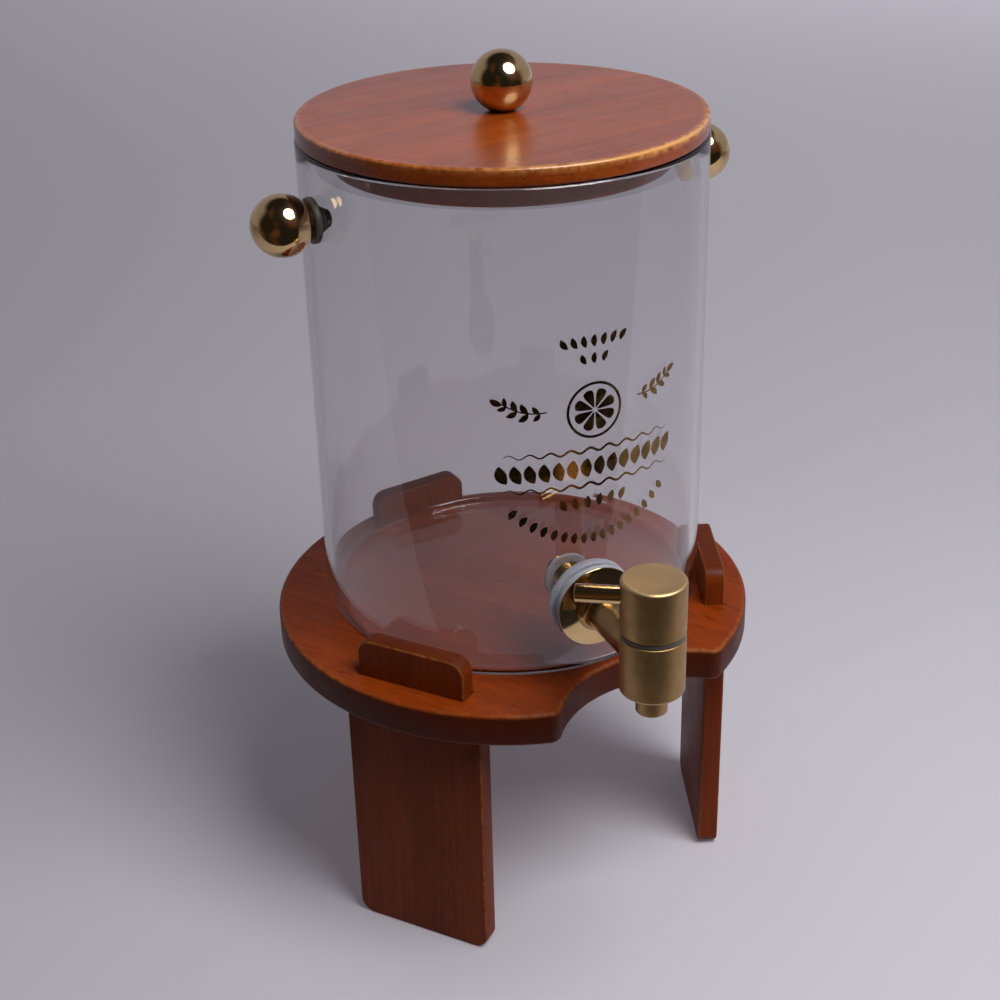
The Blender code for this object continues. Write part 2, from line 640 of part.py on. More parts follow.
def add_lid(wood, silicone, brass, steel):
    frame = make_empty("lid_frame", (0, JAR_Y, RIM_HEIGHT))
    lid_top = turned(lid_top_outline(), ROUND_LARGE, closed=True)
    add_object("lid_top", lid_top, wood, frame)
    plug = ring(SCREW_HOLE_RADIUS, PLUG_RADIUS, -PLUG_HEIGHT, 0.0, ROUND_LARGE)
    add_object("lid_plug", plug, wood, frame)
    add_object("lid_seal", turned(seal_outline(), ROUND_LARGE, closed=True), silicone, frame)

    seat = GAP + LID_THICKNESS + GAP
    centre = GAP + LID_THICKNESS + LID_BALL_HEIGHT
    ball = ball_outline(centre, seat, LID_THREAD_DEPTH)
    add_object("lid_knob", turned(ball, ROUND_SMALL), brass, frame)
    washer_top = -PLUG_HEIGHT - GAP
    washer = ring(SCREW_HOLE_RADIUS, WASHER_RADIUS, washer_top - WASHER_THICKNESS, washer_top,
                  ROUND_TINY)
    add_object("lid_washer", washer, steel, frame)
    head = washer_top - WASHER_THICKNESS - GAP - SCREW_HEAD_HEIGHT
    tip = seat + LID_THREAD_DEPTH - 3 * GAP
    add_object("lid_screw", turned(screw_outline(head, tip), ROUND_TINY), steel, frame)


def main():
    clear_scene()
    wood = make_material("stained_wood", (0.32, 0.085, 0.022), 0.35)
    glass = make_material("clear_glass", (0.93, 0.95, 0.95), 0.03, transmission=1.0)
    brass = make_material("polished_brass", (0.72, 0.52, 0.24), 0.12, metallic=1.0)
    satin_brass = make_material("brushed_brass", (0.45, 0.31, 0.13), 0.38, metallic=1.0)
    silicone = make_material("silicone", (0.42, 0.44, 0.52), 0.45)
    rubber = make_material("dark_rubber", (0.05, 0.045, 0.04), 0.55)
    nylon = make_material("nylon", (0.62, 0.60, 0.60), 0.45)
    ceramic = make_material("ceramic", (0.85, 0.84, 0.80), 0.25)
    steel = make_material("dark_steel", (0.12, 0.10, 0.09), 0.35, metallic=1.0)
    add_stand(wood)
    add_jar(glass)
    add_side_knobs(brass, rubber, steel)
    add_tap(satin_brass, brass, silicone, rubber, nylon, ceramic)
    add_lid(wood, silicone, brass, steel)


main()
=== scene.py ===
"""The looks of a countertop water dispenser: a glass jar with a brass tap and a wooden lid, on a
round wooden stand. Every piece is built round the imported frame, in metres with +Z up."""

import json
import math

import bmesh
import bpy
from mathutils import Matrix, Vector


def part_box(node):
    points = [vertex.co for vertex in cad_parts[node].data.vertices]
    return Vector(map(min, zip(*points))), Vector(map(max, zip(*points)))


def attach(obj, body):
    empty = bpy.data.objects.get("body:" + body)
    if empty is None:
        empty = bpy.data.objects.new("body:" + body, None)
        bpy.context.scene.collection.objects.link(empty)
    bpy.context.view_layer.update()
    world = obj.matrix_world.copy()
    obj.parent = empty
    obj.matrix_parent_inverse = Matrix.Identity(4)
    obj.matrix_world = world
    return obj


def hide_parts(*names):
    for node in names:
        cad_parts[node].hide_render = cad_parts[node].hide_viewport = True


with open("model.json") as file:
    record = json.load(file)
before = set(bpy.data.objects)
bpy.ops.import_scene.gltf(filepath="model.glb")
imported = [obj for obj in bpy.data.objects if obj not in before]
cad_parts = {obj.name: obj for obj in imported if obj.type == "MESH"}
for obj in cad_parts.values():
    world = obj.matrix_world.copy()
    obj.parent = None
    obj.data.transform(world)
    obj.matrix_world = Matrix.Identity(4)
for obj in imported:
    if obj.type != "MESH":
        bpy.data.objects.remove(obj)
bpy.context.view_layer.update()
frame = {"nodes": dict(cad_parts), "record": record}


def low(node):
    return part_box(node)[0]


def high(node):
    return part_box(node)[1]


def middle(node):
    return (low(node) + high(node)) / 2


def half_width(node):
    return (high(node).x - low(node).x) / 2


# The gap between pieces that fit together
GAP = 0.0003

# Places and sizes read from the frame
JAR = middle("glass_jar")
JAR_RADIUS = half_width("glass_jar")
JAR_BOTTOM = low("glass_jar").z
JAR_HEIGHT = high("glass_jar").z - JAR_BOTTOM
PLATE_LOW = low("stand_plate").z
PLATE_TOP = high("stand_plate").z
PLATE_RADIUS = half_width("stand_plate")
TENON_TOP = high("leg_rear").z
LID_RADIUS = half_width("lid_top")
PLUG_RADIUS = half_width("lid_plug")
BARREL = middle("tap_cap")
BARREL_RADIUS = half_width("tap_cap")
TAP_Z = middle("tap_flange").z
TAP_REACH = JAR.y - BARREL.y
FLANGE_RADIUS = half_width("tap_flange")
TAP_WASHER_RADIUS = half_width("tap_washer_outer")
OUTER_WASHER_FACE = JAR.y - low("tap_washer_outer").y
INNER_WASHER_FACE = JAR.y - high("tap_washer_inner").y
SHANK_START = JAR.y - high("tap_body").y
NUT_FACE = JAR.y - low("tap_nut").y
NUT_BACK = JAR.y - high("tap_nut").y

# The stand, turned a little under the jar
STAND_TURN = math.radians(9)
LEG_PLACES = {"leg_front_right": -30, "leg_rear": 90, "leg_front_left": 210}
LEG_RING_RADIUS = 0.1067
LEG_WIDTH = 0.077
LEG_THICKNESS = 0.0105
TENON_WIDTH = 0.060
BOARD_CORNER = 0.008
BOARD_EDGE_ROUND = 0.0011
PLATE_EDGE_ROUND = 0.0026
NOTCH_RADIUS = 0.065
NOTCH_CORNER = 0.007

# The glass
JAR_WALL = 0.004
JAR_BASE = 0.006
JAR_FOOT_CORNER = 0.013
JAR_INNER_CORNER = 0.004
JAR_FOOT_RING = 0.078
JAR_KICK = 0.001
JAR_SIDES = 256
JAR_RING_SPACING = 0.008
SWIRL_STEPS = 40
SWIRL_RADIUS = 0.040
SWIRL_MIDDLE = 0.014
SWIRL_WIDTH = 0.008
SWIRL_WAVE = 0.0045
SWIRL_HEIGHT = 0.00014
TAP_HOLE_RADIUS = 0.009
KNOB_HOLE_RADIUS = 0.0058

# Knobs
KNOB_TURN = math.radians(4.5)
KNOB_REACH = 0.116
KNOB_Z = middle("knob_grommet_left").z
BALL_RADIUS = half_width("lid_knob")
BALL_COLLAR = 0.0085
WASHER_HOLE = 0.0023
SCREW_HEAD_RADIUS = 0.0045
SCREW_HEAD_HEIGHT = 0.0022

# Tap. Heights on the barrel are measured from the tube's axis.
SHANK_RADIUS = 0.0082
THREAD_PITCH = 0.0016
THREAD_DEPTH = 0.0011
WATERWAY_RADIUS = 0.005
TUBE_RADIUS = 0.0088
HUB_START = 0.1052
HUB_RADIUS = 0.0118
HUB_LENGTH = 0.0038
NUT_RADIUS = 0.0125
BARREL_TOP = 0.0152
BARREL_BOTTOM = -0.0142
NOZZLE_RADIUS = 0.0076
NOZZLE_BORE = 0.0045
LEVER_HEIGHT = 0.035
LEVER_RADIUS = 0.00435
LEVER_LENGTH = 0.036
LEVER_TURN = math.radians(148.5)

# The lid's rim gets a painted highlight, strongest on this heading, the lamp's, on top of wear
# marked all round.
LID_HIGHLIGHT_HEADING = math.radians(-68)
LID_WEAR_AND_HIGHLIGHT_REACH = 0.0034

# How many sides turned pieces have
FINE = 192
MEDIUM = 96
SMALL = 48

# Edges sharper than this many degrees stay sharp in the shading.
SMOOTH_ANGLE = 35


# ------------------------------------------------------------------ mesh tools


def rounded(corners, closed=False, steps=6):
    """An outline whose corners, given as (x, y, radius), are rounded off. (x, y) stays sharp."""
    points = []
    count = len(corners)
    for index, corner in enumerate(corners):
        here = Vector(corner[:2])
        inside = closed or 0 < index < count - 1
        if len(corner) == 2 or not inside:
            points.append(here)
            continue
        before = (Vector(corners[index - 1][:2]) - here).normalized()
        after = (Vector(corners[(index + 1) % count][:2]) - here).normalized()
        half = before.angle(after) / 2
        reach = corner[2] / math.tan(half)
        centre = here + (before + after).normalized() * corner[2] / math.sin(half)
        start = here + before * reach - centre
        end = here + after * reach - centre
        sweep = math.atan2(start.x * end.y - start.y * end.x, start.dot(end))
        for step in range(steps + 1):
            turn = Matrix.Rotation(sweep * step / steps, 2)
            points.append(centre + turn @ start)
    return points


def arc(centre, radius, start, end, steps):
    """Points along an arc, angles in degrees."""
    points = []
    for step in range(steps + 1):
        angle = math.radians(start + (end - start) * step / steps)
        points.append(Vector(centre) + radius * Vector((math.cos(angle), math.sin(angle))))
    return points


def turned(outline, segments=FINE, closed=False):
    """Spins an outline of (radius, height) points about Z. An open one ends on the axis."""
    bm = bmesh.new()
    verts = [bm.verts.new((max(radius, 0.0), 0.0, height)) for radius, height in outline]
    pairs = list(zip(verts, verts[1:]))
    if closed:
        pairs.append((verts[-1], verts[0]))
    edges = [bm.edges.new(pair) for pair in pairs]
    bmesh.ops.spin(bm, geom=verts + edges, cent=(0, 0, 0), axis=(0, 0, 1),
                   angle=math.tau, steps=segments, use_merge=True)
    bmesh.ops.remove_doubles(bm, verts=bm.verts, dist=1e-7)
    bmesh.ops.dissolve_degenerate(bm, dist=1e-8, edges=bm.edges)
    return bm


def ring_outline(inside, outside, bottom, top, edge):
    """A flat ring's section, whose outer edges are rounded."""
    return rounded([(inside, bottom), (outside, bottom, edge), (outside, top, edge),
                    (inside, top)], closed=True)


def slab(outline, bottom, top):
    bm = bmesh.new()
    face = bm.faces.new([bm.verts.new((x, y, bottom)) for x, y in outline])
    made = bmesh.ops.extrude_face_region(bm, geom=[face])
    moved = [item for item in made["geom"] if isinstance(item, bmesh.types.BMVert)]
    bmesh.ops.translate(bm, verts=moved, vec=(0, 0, top - bottom))
    return bm


def grid(rows, close_rows=False):
    """Quads over rows of 3-D points. Each row closes on itself, and so may the last row."""
    bm = bmesh.new()
    verts = [[bm.verts.new(point) for point in row] for row in rows]
    tall = len(verts)
    wide = len(verts[0])
    for i in range(tall if close_rows else tall - 1):
        for j in range(wide):
            below = verts[i]
            above = verts[(i + 1) % tall]
            bm.faces.new((below[j], below[(j + 1) % wide], above[(j + 1) % wide], above[j]))
    return bm


def new_object(name, bm, place=Matrix.Identity(4), smooth_angle=SMOOTH_ANGLE):
    bmesh.ops.recalc_face_normals(bm, faces=bm.faces)
    mesh = bpy.data.meshes.new(name)
    bm.to_mesh(mesh)
    bm.free()
    mesh.shade_smooth()
    mesh.set_sharp_from_angle(angle=math.radians(smooth_angle))
    item = bpy.data.objects.new(name, mesh)
    bpy.context.scene.collection.objects.link(item)
    item.matrix_world = place
    return item


def bevel(item, width, segments):
    modifier = item.modifiers.new("bevel", "BEVEL")
    modifier.width = width
    modifier.segments = segments
    modifier.limit_method = "ANGLE"
    modifier.angle_limit = math.radians(40)
    settle(item)


def boolean(item, other, operation="DIFFERENCE"):
    """Cuts a helper out of an object, or joins it on, and removes the helper."""
    modifier = item.modifiers.new("boolean", "BOOLEAN")
    modifier.operation = operation
    modifier.object = other
    modifier.solver = "EXACT"
    settle(item)
    bpy.data.objects.remove(other)


def settle(item):
    """Applies an object's modifiers to its mesh."""
    bpy.context.view_layer.update()
    evaluated = item.evaluated_get(bpy.context.evaluated_depsgraph_get())
    mesh = bpy.data.meshes.new_from_object(evaluated)
    item.modifiers.clear()
    item.data = mesh
    mesh.shade_smooth()
    mesh.set_sharp_from_angle(angle=math.radians(SMOOTH_ANGLE))


def mark_worn(item, *edges):
    """Marks the middle of each rounding, given as (face height, rounding's depth) along local Z."""
    marks = item.data.attributes.new("wear_and_highlight", "FLOAT", "POINT")
    for vert in item.data.vertices:
        wear_and_highlight = 0.0
        for face, depth in edges:
            share = (vert.co.z - face) / depth
            if 0.02 < share < 0.98:
                wear_and_highlight = max(wear_and_highlight, 1 - abs(share - 0.30) / 0.5)
        marks.data[vert.index].value = wear_and_highlight


def mark_rim(item, radius, height, reach, heading):
    """Marks the points round a turned piece's rim as worn, and adds a painted highlight there that
    is strongest towards one heading.
    """
    marks = item.data.attributes.new("wear_and_highlight", "FLOAT", "POINT")
    for vert in item.data.vertices:
        away = math.hypot(math.hypot(vert.co.x, vert.co.y) - radius, vert.co.z - height)
        # Facing the heading adds a painted highlight to the wear mark.
        towards_highlight = max(0.0, math.cos(math.atan2(vert.co.y, vert.co.x) - heading))
        marks.data[vert.index].value = max(0.0, 1 - away / reach) * (0.45 + 1.1 * towards_highlight ** 3)


# ------------------------------------------------------------------ node tools


def add_node(tree, kind, settings=None, **inputs):
    """Adds a node. Each input is a value, or an output socket to link from."""
    made = tree.nodes.new(kind)
    for key, value in (settings or {}).items():
        setattr(made, key, value)
    for key, value in inputs.items():
        connect(tree, made.inputs[key.replace("_", " ")], value)
    return made


def connect(tree, socket, value):
    if isinstance(value, bpy.types.NodeSocket):
        tree.links.new(value, socket)
    else:
        socket.default_value = value


def new_material(name, colour, roughness, **sockets):
    material = bpy.data.materials.new(name)
    material.use_nodes = True
    tree = material.node_tree
    shader = tree.nodes["Principled BSDF"]
    connect(tree, shader.inputs["Base Color"], (*colour, 1.0))
    connect(tree, shader.inputs["Roughness"], roughness)
    for key, value in sockets.items():
        connect(tree, shader.inputs[key.replace("_", " ")], value)
    material.diffuse_color = (*colour, 1.0)
    return material, tree, shader


def stretched(tree, scale, turn=(0, 0, 0)):
    """Object coordinates, turned and stretched."""
    coordinates = add_node(tree, "ShaderNodeTexCoord").outputs["Object"]
    mapping = add_node(tree, "ShaderNodeMapping", Vector=coordinates, Scale=scale, Rotation=turn)
    return mapping.outputs[0]


def noise(tree, vector, scale, detail=3.0, roughness=0.5, distortion=0.0):
    made = add_node(tree, "ShaderNodeTexNoise", Vector=vector, Scale=scale, Detail=detail,
                    Roughness=roughness, Distortion=distortion)
    return made.outputs[0]


def remap(tree, value, start, end, to_low=0.0, to_high=1.0):
    made = add_node(tree, "ShaderNodeMapRange", Value=value, From_Min=start, From_Max=end,
                    To_Min=to_low, To_Max=to_high)
    return made.outputs[0]


def maths(tree, operation, a, b=0.0, clamp=False):
    made = add_node(tree, "ShaderNodeMath", {"operation": operation, "use_clamp": clamp})
    connect(tree, made.inputs[0], a)
    connect(tree, made.inputs[1], b)
    return made.outputs[0]


def mix_colour(tree, share, a, b):
    made = add_node(tree, "ShaderNodeMix", {"data_type": "RGBA"})
    for index, value in ((0, share), (6, a), (7, b)):
        if isinstance(value, tuple) and len(value) == 3:
            value = (*value, 1.0)
        connect(tree, made.inputs[index], value)
    return made.outputs[2]


def bump(tree, shader, height, strength, distance):
    made = add_node(tree, "ShaderNodeBump", Height=height, Strength=strength, Distance=distance)
    tree.links.new(made.outputs[0], shader.inputs["Normal"])


def edge_wear_and_highlight(tree):
    """1 in the middle of a rounded edge and 0 on open faces, from the mesh's own marks of wear,
    which on the lid's rim also carry a painted highlight.
    """
    return add_node(tree, "ShaderNodeAttribute", {"attribute_name": "wear_and_highlight"}).outputs["Fac"]


# ------------------------------------------------------------------ materials


def wood(name, turn, light, dark, sheen=0.2, gloss=0.0, wear_and_highlight_strength=0.5, pore=0.6, rough=0.42,
         side_shade_and_stain=0.0, top_stain_and_shade=0.0, relief=0.3):
    """Red-brown stained wood under a thin lacquer, its grain along the turned X."""
    material, tree, shader = new_material(name, light, 0.4)
    along = stretched(tree, (1, 1, 1), turn=turn)
    board = add_node(tree, "ShaderNodeMapping", Vector=along, Scale=(2.6, 26, 26)).outputs[0]
    fibre = add_node(tree, "ShaderNodeMapping", Vector=along, Scale=(12, 380, 380)).outputs[0]
    fleck = add_node(tree, "ShaderNodeMapping", Vector=along, Scale=(120, 1300, 1300)).outputs[0]

    bands = remap(tree, noise(tree, board, 1.0, 4, 0.5, 0.15), 0.30, 0.62)
    streaks = remap(tree, noise(tree, fibre, 1.0, 3, 0.6), 0.36, 0.66)
    pores = remap(tree, noise(tree, fleck, 1.0, 1, 0.4), 0.60, 0.67)
    pore_zone = remap(tree, noise(tree, board, 2.3, 2), 0.42, 0.60, 0.05, 1.0)
    pores = maths(tree, "MULTIPLY", pores, pore_zone)
    blotch = remap(tree, noise(tree, along, 24, 3), 0.35, 0.7)

    base = mix_colour(tree, bands, dark, light)
    base = mix_colour(tree, maths(tree, "MULTIPLY", streaks, 0.38), base,
                      tuple(c * 0.45 for c in dark))
    base = mix_colour(tree, maths(tree, "MULTIPLY", blotch, 0.2), base,
                      tuple(c * 1.2 for c in light))
    base = mix_colour(tree, maths(tree, "MULTIPLY", pores, pore), base, (0.02, 0.003, 0.001))
    # Faces are darkened by their tilt: painted shade on the plate's upright sides, and on the legs'
    # end-grain tops darker stain with painted shade.
    face = add_node(tree, "ShaderNodeSeparateXYZ")
    tree.links.new(add_node(tree, "ShaderNodeNewGeometry").outputs["Normal"], face.inputs[0])
    upright = remap(tree, maths(tree, "ABSOLUTE", face.outputs["Z"]), 0.75, 0.25)
    tilt_shade_and_stain = remap(tree, upright, 0.0, 1.0, top_stain_and_shade, side_shade_and_stain)
    base = mix_colour(tree, tilt_shade_and_stain, base, tuple(c * 0.3 for c in dark))
    # The pale tan edge is wear, and on the lid's rim also a painted highlight, strongest towards
    # the lamp.
    patch = remap(tree, noise(tree, along, 16, 2), 0.36, 0.56, 0.25, 1.0)
    patchiness = maths(tree, "MULTIPLY", remap(tree, noise(tree, along, 260, 5, 0.7), 0.38, 0.58), patch)
    solid_wear_and_highlight = maths(tree, "SUBTRACT", edge_wear_and_highlight(tree), 0.75)
    edge = maths(tree, "MULTIPLY", edge_wear_and_highlight(tree), patchiness)
    edge = maths(tree, "MAXIMUM", edge, maths(tree, "MULTIPLY", solid_wear_and_highlight, 1.6), clamp=True)
    base = mix_colour(tree, maths(tree, "MULTIPLY", edge, wear_and_highlight_strength), base, (0.66, 0.31, 0.09))
    tree.links.new(base, shader.inputs["Base Color"])

    haze = remap(tree, noise(tree, along, 60, 4), 0.3, 0.7, rough - 0.05, rough + 0.06)
    tree.links.new(haze, shader.inputs["Roughness"])
    shader.inputs["Specular IOR Level"].default_value = sheen
    shader.inputs["Coat Weight"].default_value = gloss
    shader.inputs["Coat Roughness"].default_value = 0.20
    height = maths(tree, "SUBTRACT", maths(tree, "MULTIPLY", streaks, 0.35), pores)
    bump(tree, shader, height, relief, 0.00012)
    return material


def glass():
    """Clear glass with faint drawing marks, which lets lamp light through."""
    material, tree, shader = new_material("clear_glass", (0.885, 0.88, 0.89), 0.0,
                                          Transmission_Weight=1.0, IOR=1.5)
    waves = noise(tree, stretched(tree, (9, 9, 2.2)), 1.0, 2, 0.4)
    bump(tree, shader, waves, 0.05, 0.001)
    clear = add_node(tree, "ShaderNodeBsdfTransparent", Color=(0.82, 0.825, 0.835, 1))
    path = add_node(tree, "ShaderNodeLightPath")
    mix = add_node(tree, "ShaderNodeMixShader")
    tree.links.new(path.outputs["Is Shadow Ray"], mix.inputs[0])
    tree.links.new(shader.outputs[0], mix.inputs[1])
    tree.links.new(clear.outputs[0], mix.inputs[2])
    output = tree.nodes["Material Output"]
    tree.links.new(mix.outputs[0], output.inputs["Surface"])
    return material


def polished_brass():
    """Mirror-polished brass with faint wiping marks and a slightly uneven tone."""
    material, tree, shader = new_material("polished_brass", (0.78, 0.56, 0.27), 0.07,
                                          Metallic=1.0, Coat_Weight=0.4, Coat_Roughness=0.28)
    vector = stretched(tree, (1, 1, 1))
    tone = remap(tree, noise(tree, vector, 70, 4), 0.3, 0.75)
    base = mix_colour(tree, tone, (0.60, 0.405, 0.175), (0.74, 0.535, 0.265))
    tree.links.new(base, shader.inputs["Base Color"])
    haze = remap(tree, noise(tree, vector, 160, 5, 0.65), 0.42, 0.80, 0.045, 0.15)
    tree.links.new(haze, shader.inputs["Roughness"])
    bump(tree, shader, noise(tree, vector, 90, 2), 0.05, 0.0004)
    return material


def brushed_brass():
    """Antique brass, brushed round its axis, with a painted highlight that makes its upward faces
    paler, and paler on its rubbed edges.
    """
    material, tree, shader = new_material("brushed_brass", (0.46, 0.29, 0.125), 0.46,
                                          Metallic=1.0)
    round_axis = stretched(tree, (26, 26, 5200))
    brush = noise(tree, round_axis, 1.0, 4, 0.7)
    cloud = remap(tree, noise(tree, stretched(tree, (1, 1, 1)), 210, 4, 0.6), 0.3, 0.75)
    base = mix_colour(tree, cloud, (0.35, 0.215, 0.088), (0.47, 0.30, 0.13))
    base = mix_colour(tree, remap(tree, brush, 0.35, 0.75, 0.0, 0.30), base, (0.66, 0.46, 0.22))
    # Upward faces are painted paler: a painted highlight.
    face = add_node(tree, "ShaderNodeSeparateXYZ")
    tree.links.new(add_node(tree, "ShaderNodeNewGeometry").outputs["Normal"], face.inputs[0])
    top = remap(tree, face.outputs["Z"], 0.80, 0.97, 0.0, 0.8)
    base = mix_colour(tree, top, base, (0.74, 0.52, 0.27))
    edge = maths(tree, "MULTIPLY", edge_wear_and_highlight(tree), 0.55)
    base = mix_colour(tree, edge, base, (0.90, 0.68, 0.38))
    tree.links.new(base, shader.inputs["Base Color"])
    rough = remap(tree, brush, 0.3, 0.7, 0.38, 0.54)
    tree.links.new(rough, shader.inputs["Roughness"])
    bump(tree, shader, brush, 0.22, 0.00006)
    return material


def satin_brass():
    """Brass for the tap's shank and tube, glossier than the barrel, with fine turning marks."""
    material, tree, shader = new_material("satin_brass", (0.66, 0.47, 0.225), 0.2, Metallic=1.0)
    brush = noise(tree, stretched(tree, (30, 30, 3200)), 1.0, 4, 0.7)
    base = mix_colour(tree, remap(tree, brush, 0.35, 0.7), (0.38, 0.235, 0.095),
                      (0.52, 0.34, 0.15))
    tree.links.new(base, shader.inputs["Base Color"])
    tree.links.new(remap(tree, brush, 0.3, 0.7, 0.15, 0.27), shader.inputs["Roughness"])
    bump(tree, shader, brush, 0.15, 0.00005)
    return material


def speckled(name, colour, shades, scale, rough, detail=4, grit=0.5, grain=0, relief=0.15,
             **sockets):
    """A plain material whose tone and roughness vary together, finely grained if asked for."""
    material, tree, shader = new_material(name, colour, rough[0], **sockets)
    vector = stretched(tree, (1, 1, 1))
    tone = noise(tree, vector, scale, detail, grit)
    tree.links.new(mix_colour(tree, tone, *shades), shader.inputs["Base Color"])
    tree.links.new(remap(tree, tone, 0.3, 0.7, *rough), shader.inputs["Roughness"])
    if grain:
        bump(tree, shader, noise(tree, vector, grain, 2), relief, 0.0001)
    return material


def silicone():
    """Translucent grey-lavender silicone with a faint moulded texture."""
    return speckled("silicone", (0.30, 0.305, 0.34), ((0.25, 0.255, 0.285), (0.35, 0.355, 0.40)),
                    260, (0.34, 0.52), grain=900, relief=0.12,
                    Subsurface_Weight=0.25, Subsurface_Scale=0.003)


def clear_silicone():
    """Thin silicone for the lid's seal, tinted dark as painted shade under the lid's disc, which
    lets the wood behind it show.
    """
    shade_tint = (0.055, 0.042, 0.040)
    return speckled("clear_silicone", shade_tint, (shade_tint, shade_tint), 260, (0.18, 0.34),
                    grain=500, relief=0.10, Alpha=0.13)


def dark_rubber():
    return speckled("dark_rubber", (0.09, 0.086, 0.074),
                    ((0.070, 0.066, 0.056), (0.125, 0.120, 0.104)),
                    300, (0.30, 0.50), grain=1100)


def nylon():
    return speckled("nylon", (0.25, 0.22, 0.22), ((0.21, 0.185, 0.185), (0.29, 0.26, 0.26)),
                    240, (0.36, 0.55), detail=3, grain=1200,
                    Subsurface_Weight=0.3, Subsurface_Scale=0.003)


def ceramic():
    return speckled("ceramic", (0.80, 0.79, 0.75), ((0.76, 0.75, 0.71), (0.86, 0.85, 0.82)),
                    500, (0.14, 0.26))


def dark_steel():
    return speckled("dark_steel", (0.10, 0.075, 0.06),
                    ((0.055, 0.040, 0.033), (0.17, 0.125, 0.10)),
                    380, (0.26, 0.48), detail=5, grit=0.65, Metallic=1.0)


def gold_foil():
    """Thin bronze-gold foil, uneven in tone and shine."""
    material, tree, shader = new_material("gold_foil", (0.20, 0.12, 0.045), 0.22, Metallic=1.0)
    vector = stretched(tree, (1, 1, 1))
    tone = remap(tree, noise(tree, vector, 150, 4, 0.6), 0.3, 0.75)
    base = mix_colour(tree, tone, (0.13, 0.070, 0.024), (0.30, 0.185, 0.070))
    tree.links.new(base, shader.inputs["Base Color"])
    tree.links.new(remap(tree, tone, 0.0, 1.0, 0.16, 0.34), shader.inputs["Roughness"])
    bump(tree, shader, noise(tree, vector, 2000, 2), 0.15, 0.00005)
    return material


MATERIALS = {
    "clear_glass": glass(),
    "polished_brass": polished_brass(),
    "brushed_brass": brushed_brass(),
    "silicone": silicone(),
    "satin_brass": satin_brass(),
    "clear_silicone": clear_silicone(),
    "dark_rubber": dark_rubber(),
    "nylon": nylon(),
    "ceramic": ceramic(),
    "dark_steel": dark_steel(),
}


def piece(item, body, node, slot_name, material=None):
    """Gives a piece its material and body, in the place of the CAD node it replaces."""
    item.data.materials.clear()
    item.data.materials.append(material or MATERIALS[slot_name])
    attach(item, body)
    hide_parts(node)


# ------------------------------------------------------------------ stand


def plate_outline():
    """A disc with a round bite under the tap, whose two corners are rounded."""
    disc_side = PLATE_RADIUS - NOTCH_CORNER
    bite_side = NOTCH_RADIUS + NOTCH_CORNER
    between = disc_side ** 2 - bite_side ** 2
    at_disc = math.degrees(math.acos((between + TAP_REACH ** 2) / (2 * disc_side * TAP_REACH)))
    at_bite = math.degrees(math.acos((TAP_REACH ** 2 - between) / (2 * bite_side * TAP_REACH)))
    turn = math.radians(at_disc)
    right = disc_side * Vector((math.sin(turn), -math.cos(turn)))
    left = Vector((-right.x, right.y))
    points = arc((0, 0), PLATE_RADIUS, at_disc - 90, 270 - at_disc, FINE)
    points += arc(left, NOTCH_CORNER, 270 - at_disc, 270 + at_bite, 12)[1:]
    points += arc((0, -TAP_REACH), NOTCH_RADIUS, 90 + at_bite, 90 - at_bite, 64)[1:]
    points += arc(right, NOTCH_CORNER, -90 - at_bite, at_disc - 90, 12)[1:-1]
    return points


def leg_outline():
    """A leg board seen from outside: a wide foot, shoulders, and a narrower tenon above."""
    half = LEG_WIDTH / 2
    tenon = TENON_WIDTH / 2
    shoulder = PLATE_LOW - GAP
    corner = BOARD_CORNER
    return rounded([(-half, 0, corner), (half, 0, corner), (half, shoulder), (tenon, shoulder),
                    (tenon, TENON_TOP, corner), (-tenon, TENON_TOP, corner),
                    (-tenon, shoulder), (-half, shoulder)], closed=True, steps=10)


def add_stand():
    stand = Matrix.Translation((JAR.x, JAR.y, 0)) @ Matrix.Rotation(STAND_TURN, 4, "Z")
    grain = wood("leg_wood", (0, 0, math.pi / 2), (0.215, 0.036, 0.004), (0.12, 0.017, 0.0015),
                 sheen=0.12, wear_and_highlight_strength=0.34, top_stain_and_shade=0.55)
    plate = new_object("plate_wood", slab(plate_outline(), PLATE_LOW, PLATE_TOP), stand)
    bevel(plate, PLATE_EDGE_ROUND, 5)
    half = LEG_THICKNESS / 2
    slot_half = TENON_WIDTH / 2 + GAP
    past = 0.01
    for name, degrees in LEG_PLACES.items():
        angle = math.radians(degrees)
        turn = Matrix.Rotation(angle + math.pi / 2, 4, "Z") @ Matrix.Rotation(math.pi / 2, 4, "X")
        out = Vector((math.cos(angle), math.sin(angle), 0)) * LEG_RING_RADIUS
        place = stand @ Matrix.Translation(out) @ turn
        leg = new_object(name + "_wood", slab(leg_outline(), -half, half), place)
        bevel(leg, BOARD_EDGE_ROUND, 4)
        mark_worn(leg, (half, -BOARD_EDGE_ROUND), (-half, BOARD_EDGE_ROUND))
        piece(leg, "stand", name, "stand_wood", grain)
        corners = [(-slot_half, PLATE_LOW - past), (slot_half, PLATE_LOW - past),
                   (slot_half, PLATE_TOP + past), (-slot_half, PLATE_TOP + past)]
        cutter = new_object("slot", slab(corners, -half - GAP, half + GAP), place)
        boolean(plate, cutter)
    plate.data.transform(stand)
    plate.matrix_world = Matrix.Identity(4)
    mark_worn(plate, (PLATE_TOP, -PLATE_EDGE_ROUND))
    grain = wood("plate_wood", (0, 0, math.radians(57)), (0.255, 0.040, 0.003),
                 (0.17, 0.022, 0.0015), sheen=0.13, wear_and_highlight_strength=0.22, side_shade_and_stain=0.85)
    piece(plate, "stand", "stand_plate", "stand_wood", grain)


# ------------------------------------------------------------------ jar


